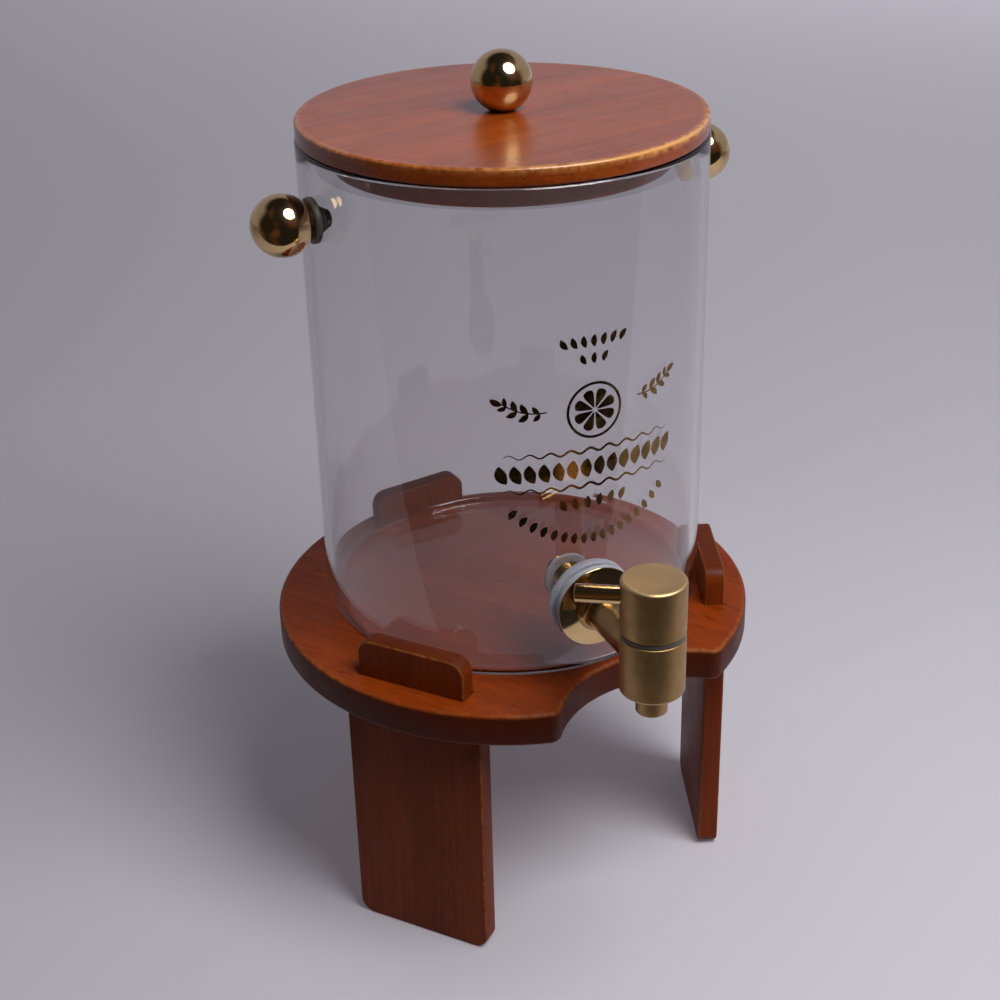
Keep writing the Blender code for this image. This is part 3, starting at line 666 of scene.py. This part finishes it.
def jar_outline():
    """The jar's section. Its base is raised in the middle below, and faintly ringed above."""
    bore = JAR_RADIUS - JAR_WALL
    points = [(0, JAR_KICK)]
    points += rounded([(0, JAR_KICK), (JAR_FOOT_RING * 0.5, JAR_KICK, 0.3),
                       (JAR_FOOT_RING, 0, 0.2), (JAR_RADIUS, 0, JAR_FOOT_CORNER),
                       (JAR_RADIUS, JAR_HEIGHT, JAR_WALL * 0.49),
                       (bore, JAR_HEIGHT, JAR_WALL * 0.49),
                       (bore, JAR_BASE, JAR_INNER_CORNER),
                       (0, JAR_BASE)], steps=10)[1:-1]
    swirl = []
    for step in range(SWIRL_STEPS):
        radius = SWIRL_RADIUS * (1 - step / SWIRL_STEPS)
        fade = math.exp(-((radius - SWIRL_MIDDLE) / SWIRL_WIDTH) ** 2)
        swirl.append((radius, JAR_BASE + SWIRL_HEIGHT * (math.cos(radius / SWIRL_WAVE) * fade)))
    return points + swirl + [(0, JAR_BASE)]


def knob_place(side):
    outward = KNOB_TURN + (0 if side > 0 else math.pi)
    turn = Matrix.Rotation(outward, 4, "Z") @ Matrix.Rotation(math.pi / 2, 4, "Y")
    return Matrix.Translation((JAR.x, JAR.y, KNOB_Z)) @ turn


TAP_AXIS = Matrix.Translation((JAR.x, JAR.y, TAP_Z)) @ Matrix.Rotation(math.pi / 2, 4, "X")


def drill(radius, place):
    """A round cutter through the jar's wall, along the place's Z."""
    near = JAR_RADIUS - 0.02
    far = JAR_RADIUS + 0.01
    outline = [(0, near), (radius, near), (radius, far), (0, far)]
    return new_object("drill", turned(outline, SMALL), place)


def with_rings(points, step):
    """Adds points along an outline's long straight runs."""
    filled = []
    for start, end in zip(points, points[1:]):
        start = Vector(start)
        end = Vector(end)
        count = max(1, int((end - start).length / step))
        filled += [start.lerp(end, index / count) for index in range(count)]
    return filled + [Vector(points[-1])]


def add_jar():
    place = Matrix.Translation((JAR.x, JAR.y, JAR_BOTTOM))
    outline = with_rings(jar_outline(), JAR_RING_SPACING)
    jar = new_object("jar_glass", turned(outline, JAR_SIDES), place)
    boolean(jar, drill(TAP_HOLE_RADIUS, TAP_AXIS))
    for side in (-1, 1):
        boolean(jar, drill(KNOB_HOLE_RADIUS, knob_place(side)))
    piece(jar, "jar", "glass_jar", "clear_glass")


# ------------------------------------------------------------------ knobs


def ball_outline(centre, flat, collar=0.0):
    """A ball that stands on a flat seat, or on a short collar if a collar's radius is given."""
    if collar:
        start = -math.degrees(math.acos(collar / BALL_RADIUS))
        points = [Vector((0, flat)), Vector((collar, flat))]
    else:
        start = -math.degrees(math.asin((centre - flat) / BALL_RADIUS))
        points = [Vector((0, flat))]
    return points + arc((0, centre), BALL_RADIUS, start, 90, 56)


def screw_head(name, place, top):
    """A pan head with a cross recess that faces down Z, its flat side at height top."""
    r = SCREW_HEAD_RADIUS
    face = top - SCREW_HEAD_HEIGHT
    outline = rounded([(0, top), (r, top), (r, face, 0.0016), (0, face)], steps=8)
    head = new_object(name, turned(outline, SMALL), place)
    recess = 0.0012
    past = 0.001
    for turn in (0, math.pi / 2):
        long_side, short_side = 0.0026, 0.0005
        corners = [(-long_side, -short_side), (long_side, -short_side),
                   (long_side, short_side), (-long_side, short_side)]
        blade = slab(corners, face - past, face + recess)
        boolean(head, new_object("blade", blade, place @ Matrix.Rotation(turn, 4, "Z")))
    return head


def add_side_knobs():
    """Each knob's ball and grommet outside the glass, and its washer and screw inside."""
    flange = 0.0030
    inner_flange = 0.0010
    inner_face = JAR_RADIUS - JAR_WALL - 0.0008
    outer_face = JAR_RADIUS + 0.0001
    wide = 0.011
    thin = 0.0007
    lip = 0.0064
    neck = 0.0055
    bore = 0.0029
    washer_radius = 0.0054
    washer_face = inner_face - inner_flange - GAP
    for side, word in ((-1, "left"), (1, "right")):
        place = knob_place(side)
        seat = outer_face + flange + GAP
        ball = turned(ball_outline(KNOB_REACH, seat, BALL_COLLAR), MEDIUM)
        piece(new_object("ball_" + word, ball, place), "jar", "knob_ball_" + word,
              "polished_brass")
        outline = rounded([(bore, inner_face - inner_flange),
                           (lip, inner_face - inner_flange, 0.0008),
                           (lip, inner_face, 0.0004), (neck, inner_face),
                           (neck, outer_face), (wide, outer_face, 0.0004),
                           (wide, outer_face + flange, 0.0012), (bore, outer_face + flange)],
                          closed=True)
        piece(new_object("grommet_" + word, turned(outline, MEDIUM, True), place),
              "jar", "knob_grommet_" + word, "dark_rubber")
        washer = ring_outline(WASHER_HOLE, washer_radius, washer_face - thin, washer_face, 0.0002)
        piece(new_object("knob_washer_ring_" + word, turned(washer, SMALL, True), place),
              "jar", "knob_washer_" + word, "dark_steel")
        head = screw_head("knob_screw_head_" + word, place, washer_face - thin - GAP)
        piece(head, "jar", "knob_screw_" + word, "dark_steel")


# ------------------------------------------------------------------ tap


def shank_point(height, angle):
    """The thread's radius at a height and angle, run out at its start."""
    phase = (height / THREAD_PITCH - angle / math.tau) % 1.0
    ridge = min(1.0, 1.25 * abs(phase - 0.5) * 2)
    start = min(1.0, (height - SHANK_START) / THREAD_PITCH)
    return SHANK_RADIUS - THREAD_DEPTH * (1 - ridge) - 0.0008 * (1 - start)


def add_shank():
    rows = []
    steps_per_turn = 8
    length = HUB_START - SHANK_START
    count = int(length / THREAD_PITCH * steps_per_turn)
    angles = [math.tau * index / 64 for index in range(64)]
    for height in (HUB_START, SHANK_START):
        rows.append([(WATERWAY_RADIUS * math.cos(a), WATERWAY_RADIUS * math.sin(a), height)
                     for a in angles])
    for step in range(count + 1):
        height = SHANK_START + length * step / count
        row = []
        for angle in angles:
            radius = shank_point(height, angle)
            row.append((radius * math.cos(angle), radius * math.sin(angle), height))
        rows.append(row)
    shank = new_object("tap_shank", grid(rows, close_rows=True), TAP_AXIS, smooth_angle=50)
    piece(shank, "jar", "tap_body", "brushed_brass", MATERIALS["satin_brass"])


def add_tube():
    hub_end = HUB_START + HUB_LENGTH
    end = TAP_REACH - BARREL_RADIUS * 0.6
    tube = turned(rounded([(0, HUB_START), (HUB_RADIUS, HUB_START, 0.0004),
                           (HUB_RADIUS, HUB_START + HUB_LENGTH * 0.45, 0.0006),
                           (TUBE_RADIUS, hub_end, 0.0030), (TUBE_RADIUS, end), (0, end)],
                          steps=8), MEDIUM)
    piece(new_object("tap_tube", tube, TAP_AXIS), "jar", "tap_body",
          "brushed_brass", MATERIALS["satin_brass"])


def add_barrel():
    place = Matrix.Translation((BARREL.x, BARREL.y, TAP_Z))
    outline = rounded([(0, BARREL_BOTTOM), (BARREL_RADIUS, BARREL_BOTTOM, 0.0014),
                       (BARREL_RADIUS, BARREL_TOP, 0.0005), (0, BARREL_TOP)], steps=8)
    barrel = new_object("tap_barrel", turned(outline, FINE), place)
    mark_worn(barrel, (BARREL_BOTTOM, 0.0014))
    piece(barrel, "jar", "tap_body", "brushed_brass")
    tip = low("tap_nozzle").z - TAP_Z
    root = BARREL_BOTTOM - GAP / 2
    nozzle = rounded([(NOZZLE_BORE, tip), (NOZZLE_RADIUS, tip, 0.0009),
                      (NOZZLE_RADIUS, root), (NOZZLE_BORE, root)], closed=True)
    piece(new_object("tap_nozzle_tube", turned(nozzle, MEDIUM, True), place),
          "jar", "tap_nozzle", "brushed_brass")
    groove_low = BARREL_TOP + GAP / 2
    groove_high = low("tap_cap").z - TAP_Z - GAP / 2
    inside = 0.0125
    outside = 0.0151
    ring = ring_outline(inside, outside, groove_low, groove_high, 0.0006)
    piece(new_object("tap_groove_ring", turned(ring, MEDIUM, True), place),
          "jar", "tap_o_ring", "dark_rubber")


def add_handle():
    """The turning cap, with its lever set in a blind hole in its side."""
    place = Matrix.Translation((BARREL.x, BARREL.y, TAP_Z))
    bottom = low("tap_cap").z - TAP_Z
    top = high("tap_cap").z - TAP_Z
    cavity = top - 0.006
    inside = 0.0128
    outline = rounded([(0, cavity), (inside, cavity), (inside, bottom),
                       (BARREL_RADIUS, bottom, 0.0004), (BARREL_RADIUS, top, 0.0017), (0, top)],
                      steps=10)
    cap = new_object("tap_cap_shell", turned(outline, FINE), place)
    lever_place = place @ Matrix.Translation((0, 0, LEVER_HEIGHT))
    lever_place @= Matrix.Rotation(LEVER_TURN, 4, "Z") @ Matrix.Rotation(math.pi / 2, 4, "Y")
    seat = LEVER_RADIUS + 0.0002
    socket_end = 0.0142
    past = 0.02
    socket = [(0, socket_end), (seat, socket_end), (seat, past), (0, past)]
    boolean(cap, new_object("socket", turned(socket, SMALL), lever_place))
    mark_worn(cap, (top, -0.0017))
    piece(cap, "tap_handle", "tap_cap", "brushed_brass")
    start = 0.0143
    rod = rounded([(0, start), (LEVER_RADIUS, start), (LEVER_RADIUS, LEVER_LENGTH, 0.0005),
                   (0, LEVER_LENGTH)], steps=5)
    piece(new_object("tap_lever_rod", turned(rod, SMALL), lever_place),
          "tap_handle", "tap_lever", "polished_brass")


def saddle_washer(name, inner_radius, outer_radius, glass_radius, flat, edge):
    """A ring with one flat face and one face that follows the glass round."""
    sections = [(inner_radius, 0.0), (inner_radius, 1.0), (outer_radius - edge, 1.0),
                (outer_radius - edge * 0.3, 1 - 0.10), (outer_radius, 1 - 0.28),
                (outer_radius, 0.28), (outer_radius - edge * 0.3, 0.10),
                (outer_radius - edge, 0.0)]
    rows = []
    for index in range(MEDIUM):
        angle = math.tau * index / MEDIUM
        row = []
        for radius, share in sections:
            x = radius * math.cos(angle)
            y = radius * math.sin(angle)
            back = math.sqrt(glass_radius ** 2 - x ** 2)
            row.append((x, y, back + (flat - back) * share))
        rows.append(row)
    return new_object(name, grid(rows, close_rows=True), TAP_AXIS)


def add_tap_mount():
    """What clamps the tap to the glass: two washers, the rosette and the nut."""
    bore = SHANK_RADIUS + 0.0004
    outer = saddle_washer("washer_outer", bore, TAP_WASHER_RADIUS, JAR_RADIUS + 0.0001,
                          OUTER_WASHER_FACE, 0.0009)
    piece(outer, "jar", "tap_washer_outer", "silicone")
    inner = saddle_washer("washer_inner", bore, TAP_WASHER_RADIUS,
                          JAR_RADIUS - JAR_WALL - 0.0001, INNER_WASHER_FACE, 0.0009)
    piece(inner, "jar", "tap_washer_inner", "silicone")

    back = OUTER_WASHER_FACE + 0.0001
    front = HUB_START - 0.0001
    wide = FLANGE_RADIUS
    dish = rounded([(SHANK_RADIUS, back), (wide, back, 0.0003), (wide, back + 0.0007, 0.0004),
                    (wide - 0.0020, back + 0.0009, 0.006),
                    (HUB_RADIUS - 0.001, front - 0.0001), (SHANK_RADIUS, front)],
                   closed=True, steps=8)
    piece(new_object("tap_rosette", turned(dish, FINE, True), TAP_AXIS),
          "jar", "tap_flange", "polished_brass")

    lip = NUT_FACE - 0.0022
    across = NUT_RADIUS * 0.84
    hexagon = turned([(0, NUT_BACK), (across, NUT_BACK), (across, lip + 0.001),
                      (0, lip + 0.001)], 6)
    nut = new_object("shank_nut", turned(rounded([(0, lip), (NUT_RADIUS, lip, 0.0007),
                                                  (NUT_RADIUS, NUT_FACE, 0.0007),
                                                  (0, NUT_FACE)]), MEDIUM), TAP_AXIS)
    hexagon = new_object("hexagon", hexagon, TAP_AXIS)
    bevel(hexagon, 0.0022, 5)
    boolean(nut, hexagon, "UNION")
    hole = [(0, NUT_BACK - 0.005), (SHANK_RADIUS + 0.0002, NUT_BACK - 0.005),
            (SHANK_RADIUS + 0.0002, NUT_FACE + 0.005), (0, NUT_FACE + 0.005)]
    boolean(nut, new_object("hole", turned(hole, SMALL), TAP_AXIS))
    piece(nut, "jar", "tap_nut", "nylon")


# ------------------------------------------------------------------ lid


def add_lid():
    place = Matrix.Translation((JAR.x, JAR.y, 0))
    bottom = low("lid_top").z
    top = high("lid_top").z
    disc = rounded([(0, bottom), (LID_RADIUS, bottom, 0.0010), (LID_RADIUS, top - 0.0040),
                    (LID_RADIUS, top - 0.0025), (LID_RADIUS, top, 0.0015),
                    (LID_RADIUS - 0.0025, top), (LID_RADIUS - 0.0040, top), (0, top)], steps=8)
    lid = new_object("lid_disc", turned(disc, FINE), place)
    mark_rim(lid, LID_RADIUS - 0.0004, top - 0.0004, LID_WEAR_AND_HIGHLIGHT_REACH, LID_HIGHLIGHT_HEADING)
    grain = wood("lid_wood", (0, 0, math.radians(-14)), (0.36, 0.068, 0.006),
                 (0.19, 0.028, 0.002), sheen=0.42, gloss=0.5, wear_and_highlight_strength=1.0, pore=0.5, rough=0.30,
                 relief=0.12)
    piece(lid, "lid", "lid_top", "lid_wood", grain)

    plug_low = low("lid_plug").z
    plug_outline = rounded([(0, plug_low), (PLUG_RADIUS, plug_low, 0.0010),
                            (PLUG_RADIUS, bottom - 0.0001, 0.0003), (0, bottom - 0.0001)], steps=6)
    plug = new_object("lid_plug_disc", turned(plug_outline, FINE), place)
    piece(plug, "lid", "lid_plug", "lid_wood", grain)

    inner = PLUG_RADIUS + 0.0001
    foot = low("lid_seal").z
    seal_top = high("lid_seal").z
    wide = half_width("lid_seal")
    rib = 0.0009
    seal = rounded([(inner, foot), (inner + 0.0064, foot, 0.0006),
                    (inner + 0.0068, foot + 0.0022, 0.0006),
                    (inner + 0.0058, foot + 0.0030, 0.0004),
                    (wide - rib, foot + 0.0062, 0.0006), (wide - 0.0002, foot + 0.0078, 0.0004),
                    (wide - 2 * rib, seal_top - 0.0014, 0.0004),
                    (wide - rib, seal_top, 0.0004), (inner, seal_top)], closed=True, steps=4)
    piece(new_object("lid_seal_ring", turned(seal, FINE, True), place),
          "lid", "lid_seal", "silicone", MATERIALS["clear_silicone"])

    centre = high("lid_knob").z - BALL_RADIUS
    ball = turned(ball_outline(centre, top + 0.0001), MEDIUM)
    piece(new_object("lid_ball", ball, place), "lid", "lid_knob", "polished_brass")
    washer_low = low("lid_washer").z
    washer_radius = 0.007
    washer = ring_outline(WASHER_HOLE, washer_radius, washer_low, plug_low - 0.0001, 0.0003)
    piece(new_object("lid_washer_ring", turned(washer, SMALL, True), place),
          "lid", "lid_washer", "dark_steel")
    head = screw_head("lid_screw_head", place, washer_low - 0.0001)
    piece(head, "lid", "lid_screw", "dark_steel")


# ------------------------------------------------------------------ printed ornament


PRINT_MIDDLE = 0.285
PRINT_RADIUS = JAR_RADIUS + 0.00008


def on_glass(across, up):
    """A point of the flat design, in metres from its middle, laid on the jar's front."""
    angle = across / JAR_RADIUS - math.pi / 2
    return (JAR.x + PRINT_RADIUS * math.cos(angle), JAR.y + PRINT_RADIUS * math.sin(angle),
            PRINT_MIDDLE + up)


def stroke(bm, line, width, steps=24):
    """A band along line(t), a point of the flat design for t from 0 to 1, width(t) wide."""
    across = 3
    rows = []
    for step in range(steps + 1):
        t = step / steps
        here = Vector(line(t))
        ahead = Vector(line(min(1, t + 0.01))) - Vector(line(max(0, t - 0.01)))
        side = Vector((-ahead.y, ahead.x)).normalized()
        half = max(width(t) / 2, 0.00006)
        rows.append([bm.verts.new(on_glass(*(here + side * half * (2 * k / across - 1))))
                     for k in range(across + 1)])
    for below, above in zip(rows, rows[1:]):
        for k in range(across):
            bm.faces.new((below[k], below[k + 1], above[k + 1], above[k]))


def leaf(bm, root, degrees, length, width):
    """A pointed leaf, curved a little, from its root."""
    turn = math.radians(degrees)
    ahead = Vector((math.cos(turn), math.sin(turn)))
    side = Vector((-ahead.y, ahead.x))
    stroke(bm, lambda t: Vector(root) + ahead * length * t + side * length * 0.10 *
           math.sin(math.pi * t), lambda t: width * math.sin(math.pi * t) ** 0.75)


def sprig(bm, start, end, bow, leaves, length, width):
    """A bowed stem with leaves on both sides and one at its tip."""
    start = Vector(start)
    end = Vector(end)
    along = end - start
    side = Vector((-along.y, along.x)).normalized()

    def line(t):
        return start + along * t + side * bow * math.sin(math.pi * t)

    stroke(bm, line, lambda t: 0.0007)
    heading = math.degrees(math.atan2(along.y, along.x))
    for index in range(leaves):
        t = (index + 0.6) / leaves
        size = 1 - 0.35 * abs(2 * t - 1)
        lean = heading + math.degrees(bow / along.length * math.pi * math.cos(math.pi * t))
        for way in (-1, 1):
            leaf(bm, line(t), lean + way * 48, length * size, width * size)
    leaf(bm, end, heading - 12 * (1 if bow > 0 else -1), length, width)


def row_of_leaves(bm, count, half_length, line, length, width, spread=0):
    """Leaves standing side by side along line(x), leaning outwards towards the ends."""
    for index in range(count):
        x = half_length * (2 * index / (count - 1) - 1)
        lean = 90 - spread * x / half_length
        turn = math.radians(lean)
        ahead = Vector((math.cos(turn), math.sin(turn)))
        root = Vector((x, line(x))) - ahead * length / 2
        leaf(bm, root, lean, length, width)


def wave(bm, up, half_length, height, turns, width):
    """A level wavy line that thins out at both ends."""
    stroke(bm, lambda t: ((2 * t - 1) * half_length, up + height * math.sin(math.tau * turns * t)),
           lambda t: width * (0.25 + 0.75 * math.sin(math.pi * t)), steps=90)


def citrus(bm, up, radius):
    """A slice of fruit: a rind, and eight wedges."""
    stroke(bm, lambda t: (radius * math.cos(math.tau * t), up + radius * math.sin(math.tau * t)),
           lambda t: radius * 0.10, steps=72)
    for index in range(8):
        turn = math.tau * (index + 0.5) / 8
        ahead = Vector((math.cos(turn), math.sin(turn)))
        stroke(bm, lambda t: Vector((0, up)) + ahead * radius * (0.10 + 0.70 * t),
               lambda t: radius * (0.04 + 0.50 * t) * math.sqrt(max(0.0, 1 - t ** 6)), steps=16)


def add_print():
    bm = bmesh.new()
    citrus(bm, 0.0145, 0.0135)
    row_of_leaves(bm, 7, 0.0150, lambda x: 0.0490, 0.0060, 0.0030, 35)
    row_of_leaves(bm, 3, 0.0055, lambda x: 0.0405, 0.0054, 0.0028, 25)
    for way in (-1, 1):
        sprig(bm, (way * 0.0235, 0.0165), (way * 0.044, 0.0215), -way * 0.002, 4, 0.0064, 0.0032)
    wave(bm, -0.0055, 0.044, 0.0011, 9, 0.0013)
    row_of_leaves(bm, 14, 0.0445, lambda x: -0.0145, 0.0098, 0.0058, 22)
    wave(bm, -0.0235, 0.044, 0.0011, 9, 0.0013)
    row_of_leaves(bm, 6, 0.0155, lambda x: -0.0325, 0.0064, 0.0035, 20)
    row_of_leaves(bm, 17, 0.0400, lambda x: -0.0520 + x * x / 0.0400 ** 2 * 0.0165,
                  0.0060, 0.0033, -40)
    item = new_object("foil_ornament", bm)
    shell = item.modifiers.new("thickness", "SOLIDIFY")
    shell.thickness = 0.00006
    shell.offset = 0
    settle(item)
    item.data.materials.append(gold_foil())
    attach(item, "jar")


# ------------------------------------------------------------------ hidden nodes, stage


def dress_hidden_nodes():
    """The valve's pieces keep their CAD shapes and take their slot's material."""
    for part in frame["record"]["subparts"]:
        node = frame["nodes"][part["node"]]
        if not node.hide_render:
            node.data.materials.clear()
            node.data.materials.append(MATERIALS[part["material_slot"]])


# The camera's heading is counted from +X, and its pitch is below the horizon.
CAMERA_PLACE = Vector((-0.3288, -0.7311, 0.6277))
CAMERA_HEADING = math.radians(66.07)
CAMERA_PITCH = math.radians(27.08)
CAMERA_ROLL = math.radians(-1.05)
CAMERA_LENS = 62.38
CAMERA_SHIFT = -0.0215

# The paper's own frame: Y is the camera's heading, and X is to its right.
PAPER_END = -0.28
# The paper's glow is painted light: far away, stronger to the right, and a little everywhere.
FAR_GLOW_SPAN = (0.45, 2.5)
FAR_GLOW_SIDES = (0.12, 0.38)
NEAR_GLOW = 0.07

# The lamp is placed from the jar's middle, to the camera's right and ahead of it.
LAMP_RIGHT = 0.54
LAMP_AHEAD = -0.50
LAMP_HEIGHT = 1.37
LAMP_AIM_HEIGHT = 0.30
LAMP_SIZE = 0.85
LAMP_POWER = 19.5
LAMP_COLOUR = (1.0, 0.985, 0.97)


def camera_axes():
    """The camera's ways to the right, up and ahead."""
    flat = Vector((math.cos(CAMERA_HEADING), math.sin(CAMERA_HEADING), 0))
    ahead = flat * math.cos(CAMERA_PITCH) - Vector((0, 0, math.sin(CAMERA_PITCH)))
    right = Vector((flat.y, -flat.x, 0))
    up = right.cross(ahead)
    turned_right = right * math.cos(CAMERA_ROLL) + up * math.sin(CAMERA_ROLL)
    turned_up = up * math.cos(CAMERA_ROLL) - right * math.sin(CAMERA_ROLL)
    return turned_right, turned_up, ahead


def add_camera():
    data = bpy.data.cameras.new("camera")
    data.lens = CAMERA_LENS
    data.sensor_width = 36
    data.shift_x = CAMERA_SHIFT
    camera = bpy.data.objects.new("camera", data)
    bpy.context.scene.collection.objects.link(camera)
    right, up, ahead = camera_axes()
    turn = Matrix((right, up, -ahead)).transposed().to_4x4()
    camera.matrix_world = Matrix.Translation(CAMERA_PLACE) @ turn
    bpy.context.scene.camera = camera


def add_floor():
    """Pale paper with painted light and shade: darker towards the left, and glowing a little
    everywhere and more far away. Its near half isn't seen in reflections.
    """
    material, tree, shader = new_material("paper_floor", (0.60, 0.585, 0.645), 0.8)
    shader.inputs["Specular IOR Level"].default_value = 0.1
    place = stretched(tree, (1, 1, 1))
    tone = noise(tree, place, 1.3, 3)
    base = mix_colour(tree, tone, (0.590, 0.572, 0.642), (0.610, 0.592, 0.660))
    split = add_node(tree, "ShaderNodeSeparateXYZ")
    tree.links.new(place, split.inputs[0])
    # Painted shade, darker towards the left.
    shade = remap(tree, split.outputs["X"], -0.45, 0.40, 0.24, 0.0)
    base = mix_colour(tree, shade, base, (0.0, 0.0, 0.0))
    tree.links.new(base, shader.inputs["Base Color"])
    far = remap(tree, split.outputs["Y"], *FAR_GLOW_SPAN)
    side = remap(tree, split.outputs["X"], -1.2, 1.2, *FAR_GLOW_SIDES)
    glow = maths(tree, "ADD", maths(tree, "MULTIPLY", far, side), NEAR_GLOW)
    tree.links.new(glow, shader.inputs["Emission Strength"])
    shader.inputs["Emission Color"].default_value = (0.955, 0.925, 1.05, 1)
    reach = 9.0
    turn = Matrix.Rotation(CAMERA_HEADING - math.pi / 2, 4, "Z")
    for name, near, far_end in (("floor_back", PAPER_END, reach),
                                ("floor_front", -reach, PAPER_END)):
        bm = bmesh.new()
        corners = [(-reach, near, 0), (reach, near, 0), (reach, far_end, 0), (-reach, far_end, 0)]
        bm.faces.new([bm.verts.new(corner) for corner in corners])
        floor = new_object(name, bm, turn)
        if floor.data.polygons[0].normal.z < 0:
            floor.data.flip_normals()
        floor.data.materials.append(material)
        if name == "floor_front":
            floor.visible_glossy = False
            floor.visible_diffuse = False


def add_lamp():
    """A round softbox on the camera's right, above the object and aimed at the jar's middle."""
    data = bpy.data.lights.new("octabox", "AREA")
    data.shape = "DISK"
    data.size = LAMP_SIZE
    data.energy = LAMP_POWER
    data.color = LAMP_COLOUR
    item = bpy.data.objects.new("octabox", data)
    bpy.context.scene.collection.objects.link(item)
    right = camera_axes()[0]
    flat = Vector((math.cos(CAMERA_HEADING), math.sin(CAMERA_HEADING), 0))
    aim = Vector((JAR.x, JAR.y, LAMP_AIM_HEIGHT))
    place = Vector((JAR.x, JAR.y, 0)) + right * LAMP_RIGHT + flat * LAMP_AHEAD
    place.z = LAMP_HEIGHT
    item.location = place
    item.rotation_mode = "QUATERNION"
    item.rotation_quaternion = (place - aim).to_track_quat("Z", "Y")


def along_way(tree, direction, way):
    """How far a direction points along a way, from -1 to 1."""
    dot = add_node(tree, "ShaderNodeVectorMath", {"operation": "DOT_PRODUCT"})
    tree.links.new(direction, dot.inputs[0])
    dot.inputs[1].default_value = way
    return dot.outputs["Value"]


def add_world():
    """A pale backdrop all round. Reflections see a dark room on the camera's side instead."""
    world = bpy.data.worlds.new("studio")
    bpy.context.scene.world = world
    world.use_nodes = True
    tree = world.node_tree
    background = tree.nodes["Background"]
    direction = add_node(tree, "ShaderNodeTexCoord").outputs["Generated"]
    ahead = (math.cos(CAMERA_HEADING), math.sin(CAMERA_HEADING), 0)
    right = (ahead[1], -ahead[0], 0)
    beyond = remap(tree, along_way(tree, direction, ahead), -0.25, 0.10)
    under_ceiling = remap(tree, along_way(tree, direction, (0, 0, 1)), 0.80, 0.62)
    lit = maths(tree, "MULTIPLY", beyond, under_ceiling)
    across = along_way(tree, direction, right)
    reflector = maths(tree, "MULTIPLY", remap(tree, across, 0.28, 0.36),
                      remap(tree, across, 0.88, 0.84))
    sides = maths(tree, "ADD", remap(tree, across, -0.9, 0.3, 0.80, 0.95),
                  maths(tree, "MULTIPLY", reflector, 0.8))
    lit = maths(tree, "MULTIPLY", lit, sides)
    path = add_node(tree, "ShaderNodeLightPath")
    seen = maths(tree, "MAXIMUM", path.outputs["Is Camera Ray"],
                 path.outputs["Is Transmission Ray"])
    direct = maths(tree, "SUBTRACT", 1.0, path.outputs["Glossy Depth"], clamp=True)
    seen = maths(tree, "MULTIPLY", seen, direct)
    lit = maths(tree, "MAXIMUM", lit, seen)
    shapes = remap(tree, noise(tree, direction, 1.3, 0), 0.44, 0.60)
    room = mix_colour(tree, shapes, (0.020, 0.017, 0.014), (0.100, 0.050, 0.026))
    colour = mix_colour(tree, lit, room, (0.36, 0.345, 0.40))
    tree.links.new(colour, background.inputs["Color"])
    background.inputs["Strength"].default_value = 1.0


def add_stage():
    add_floor()
    add_world()
    add_lamp()
    bpy.context.scene.view_settings.view_transform = "Standard"


add_stand()
add_jar()
add_side_knobs()
add_shank()
add_tube()
add_barrel()
add_handle()
add_tap_mount()
add_lid()
add_print()
dress_hidden_nodes()
add_camera()
add_stage()
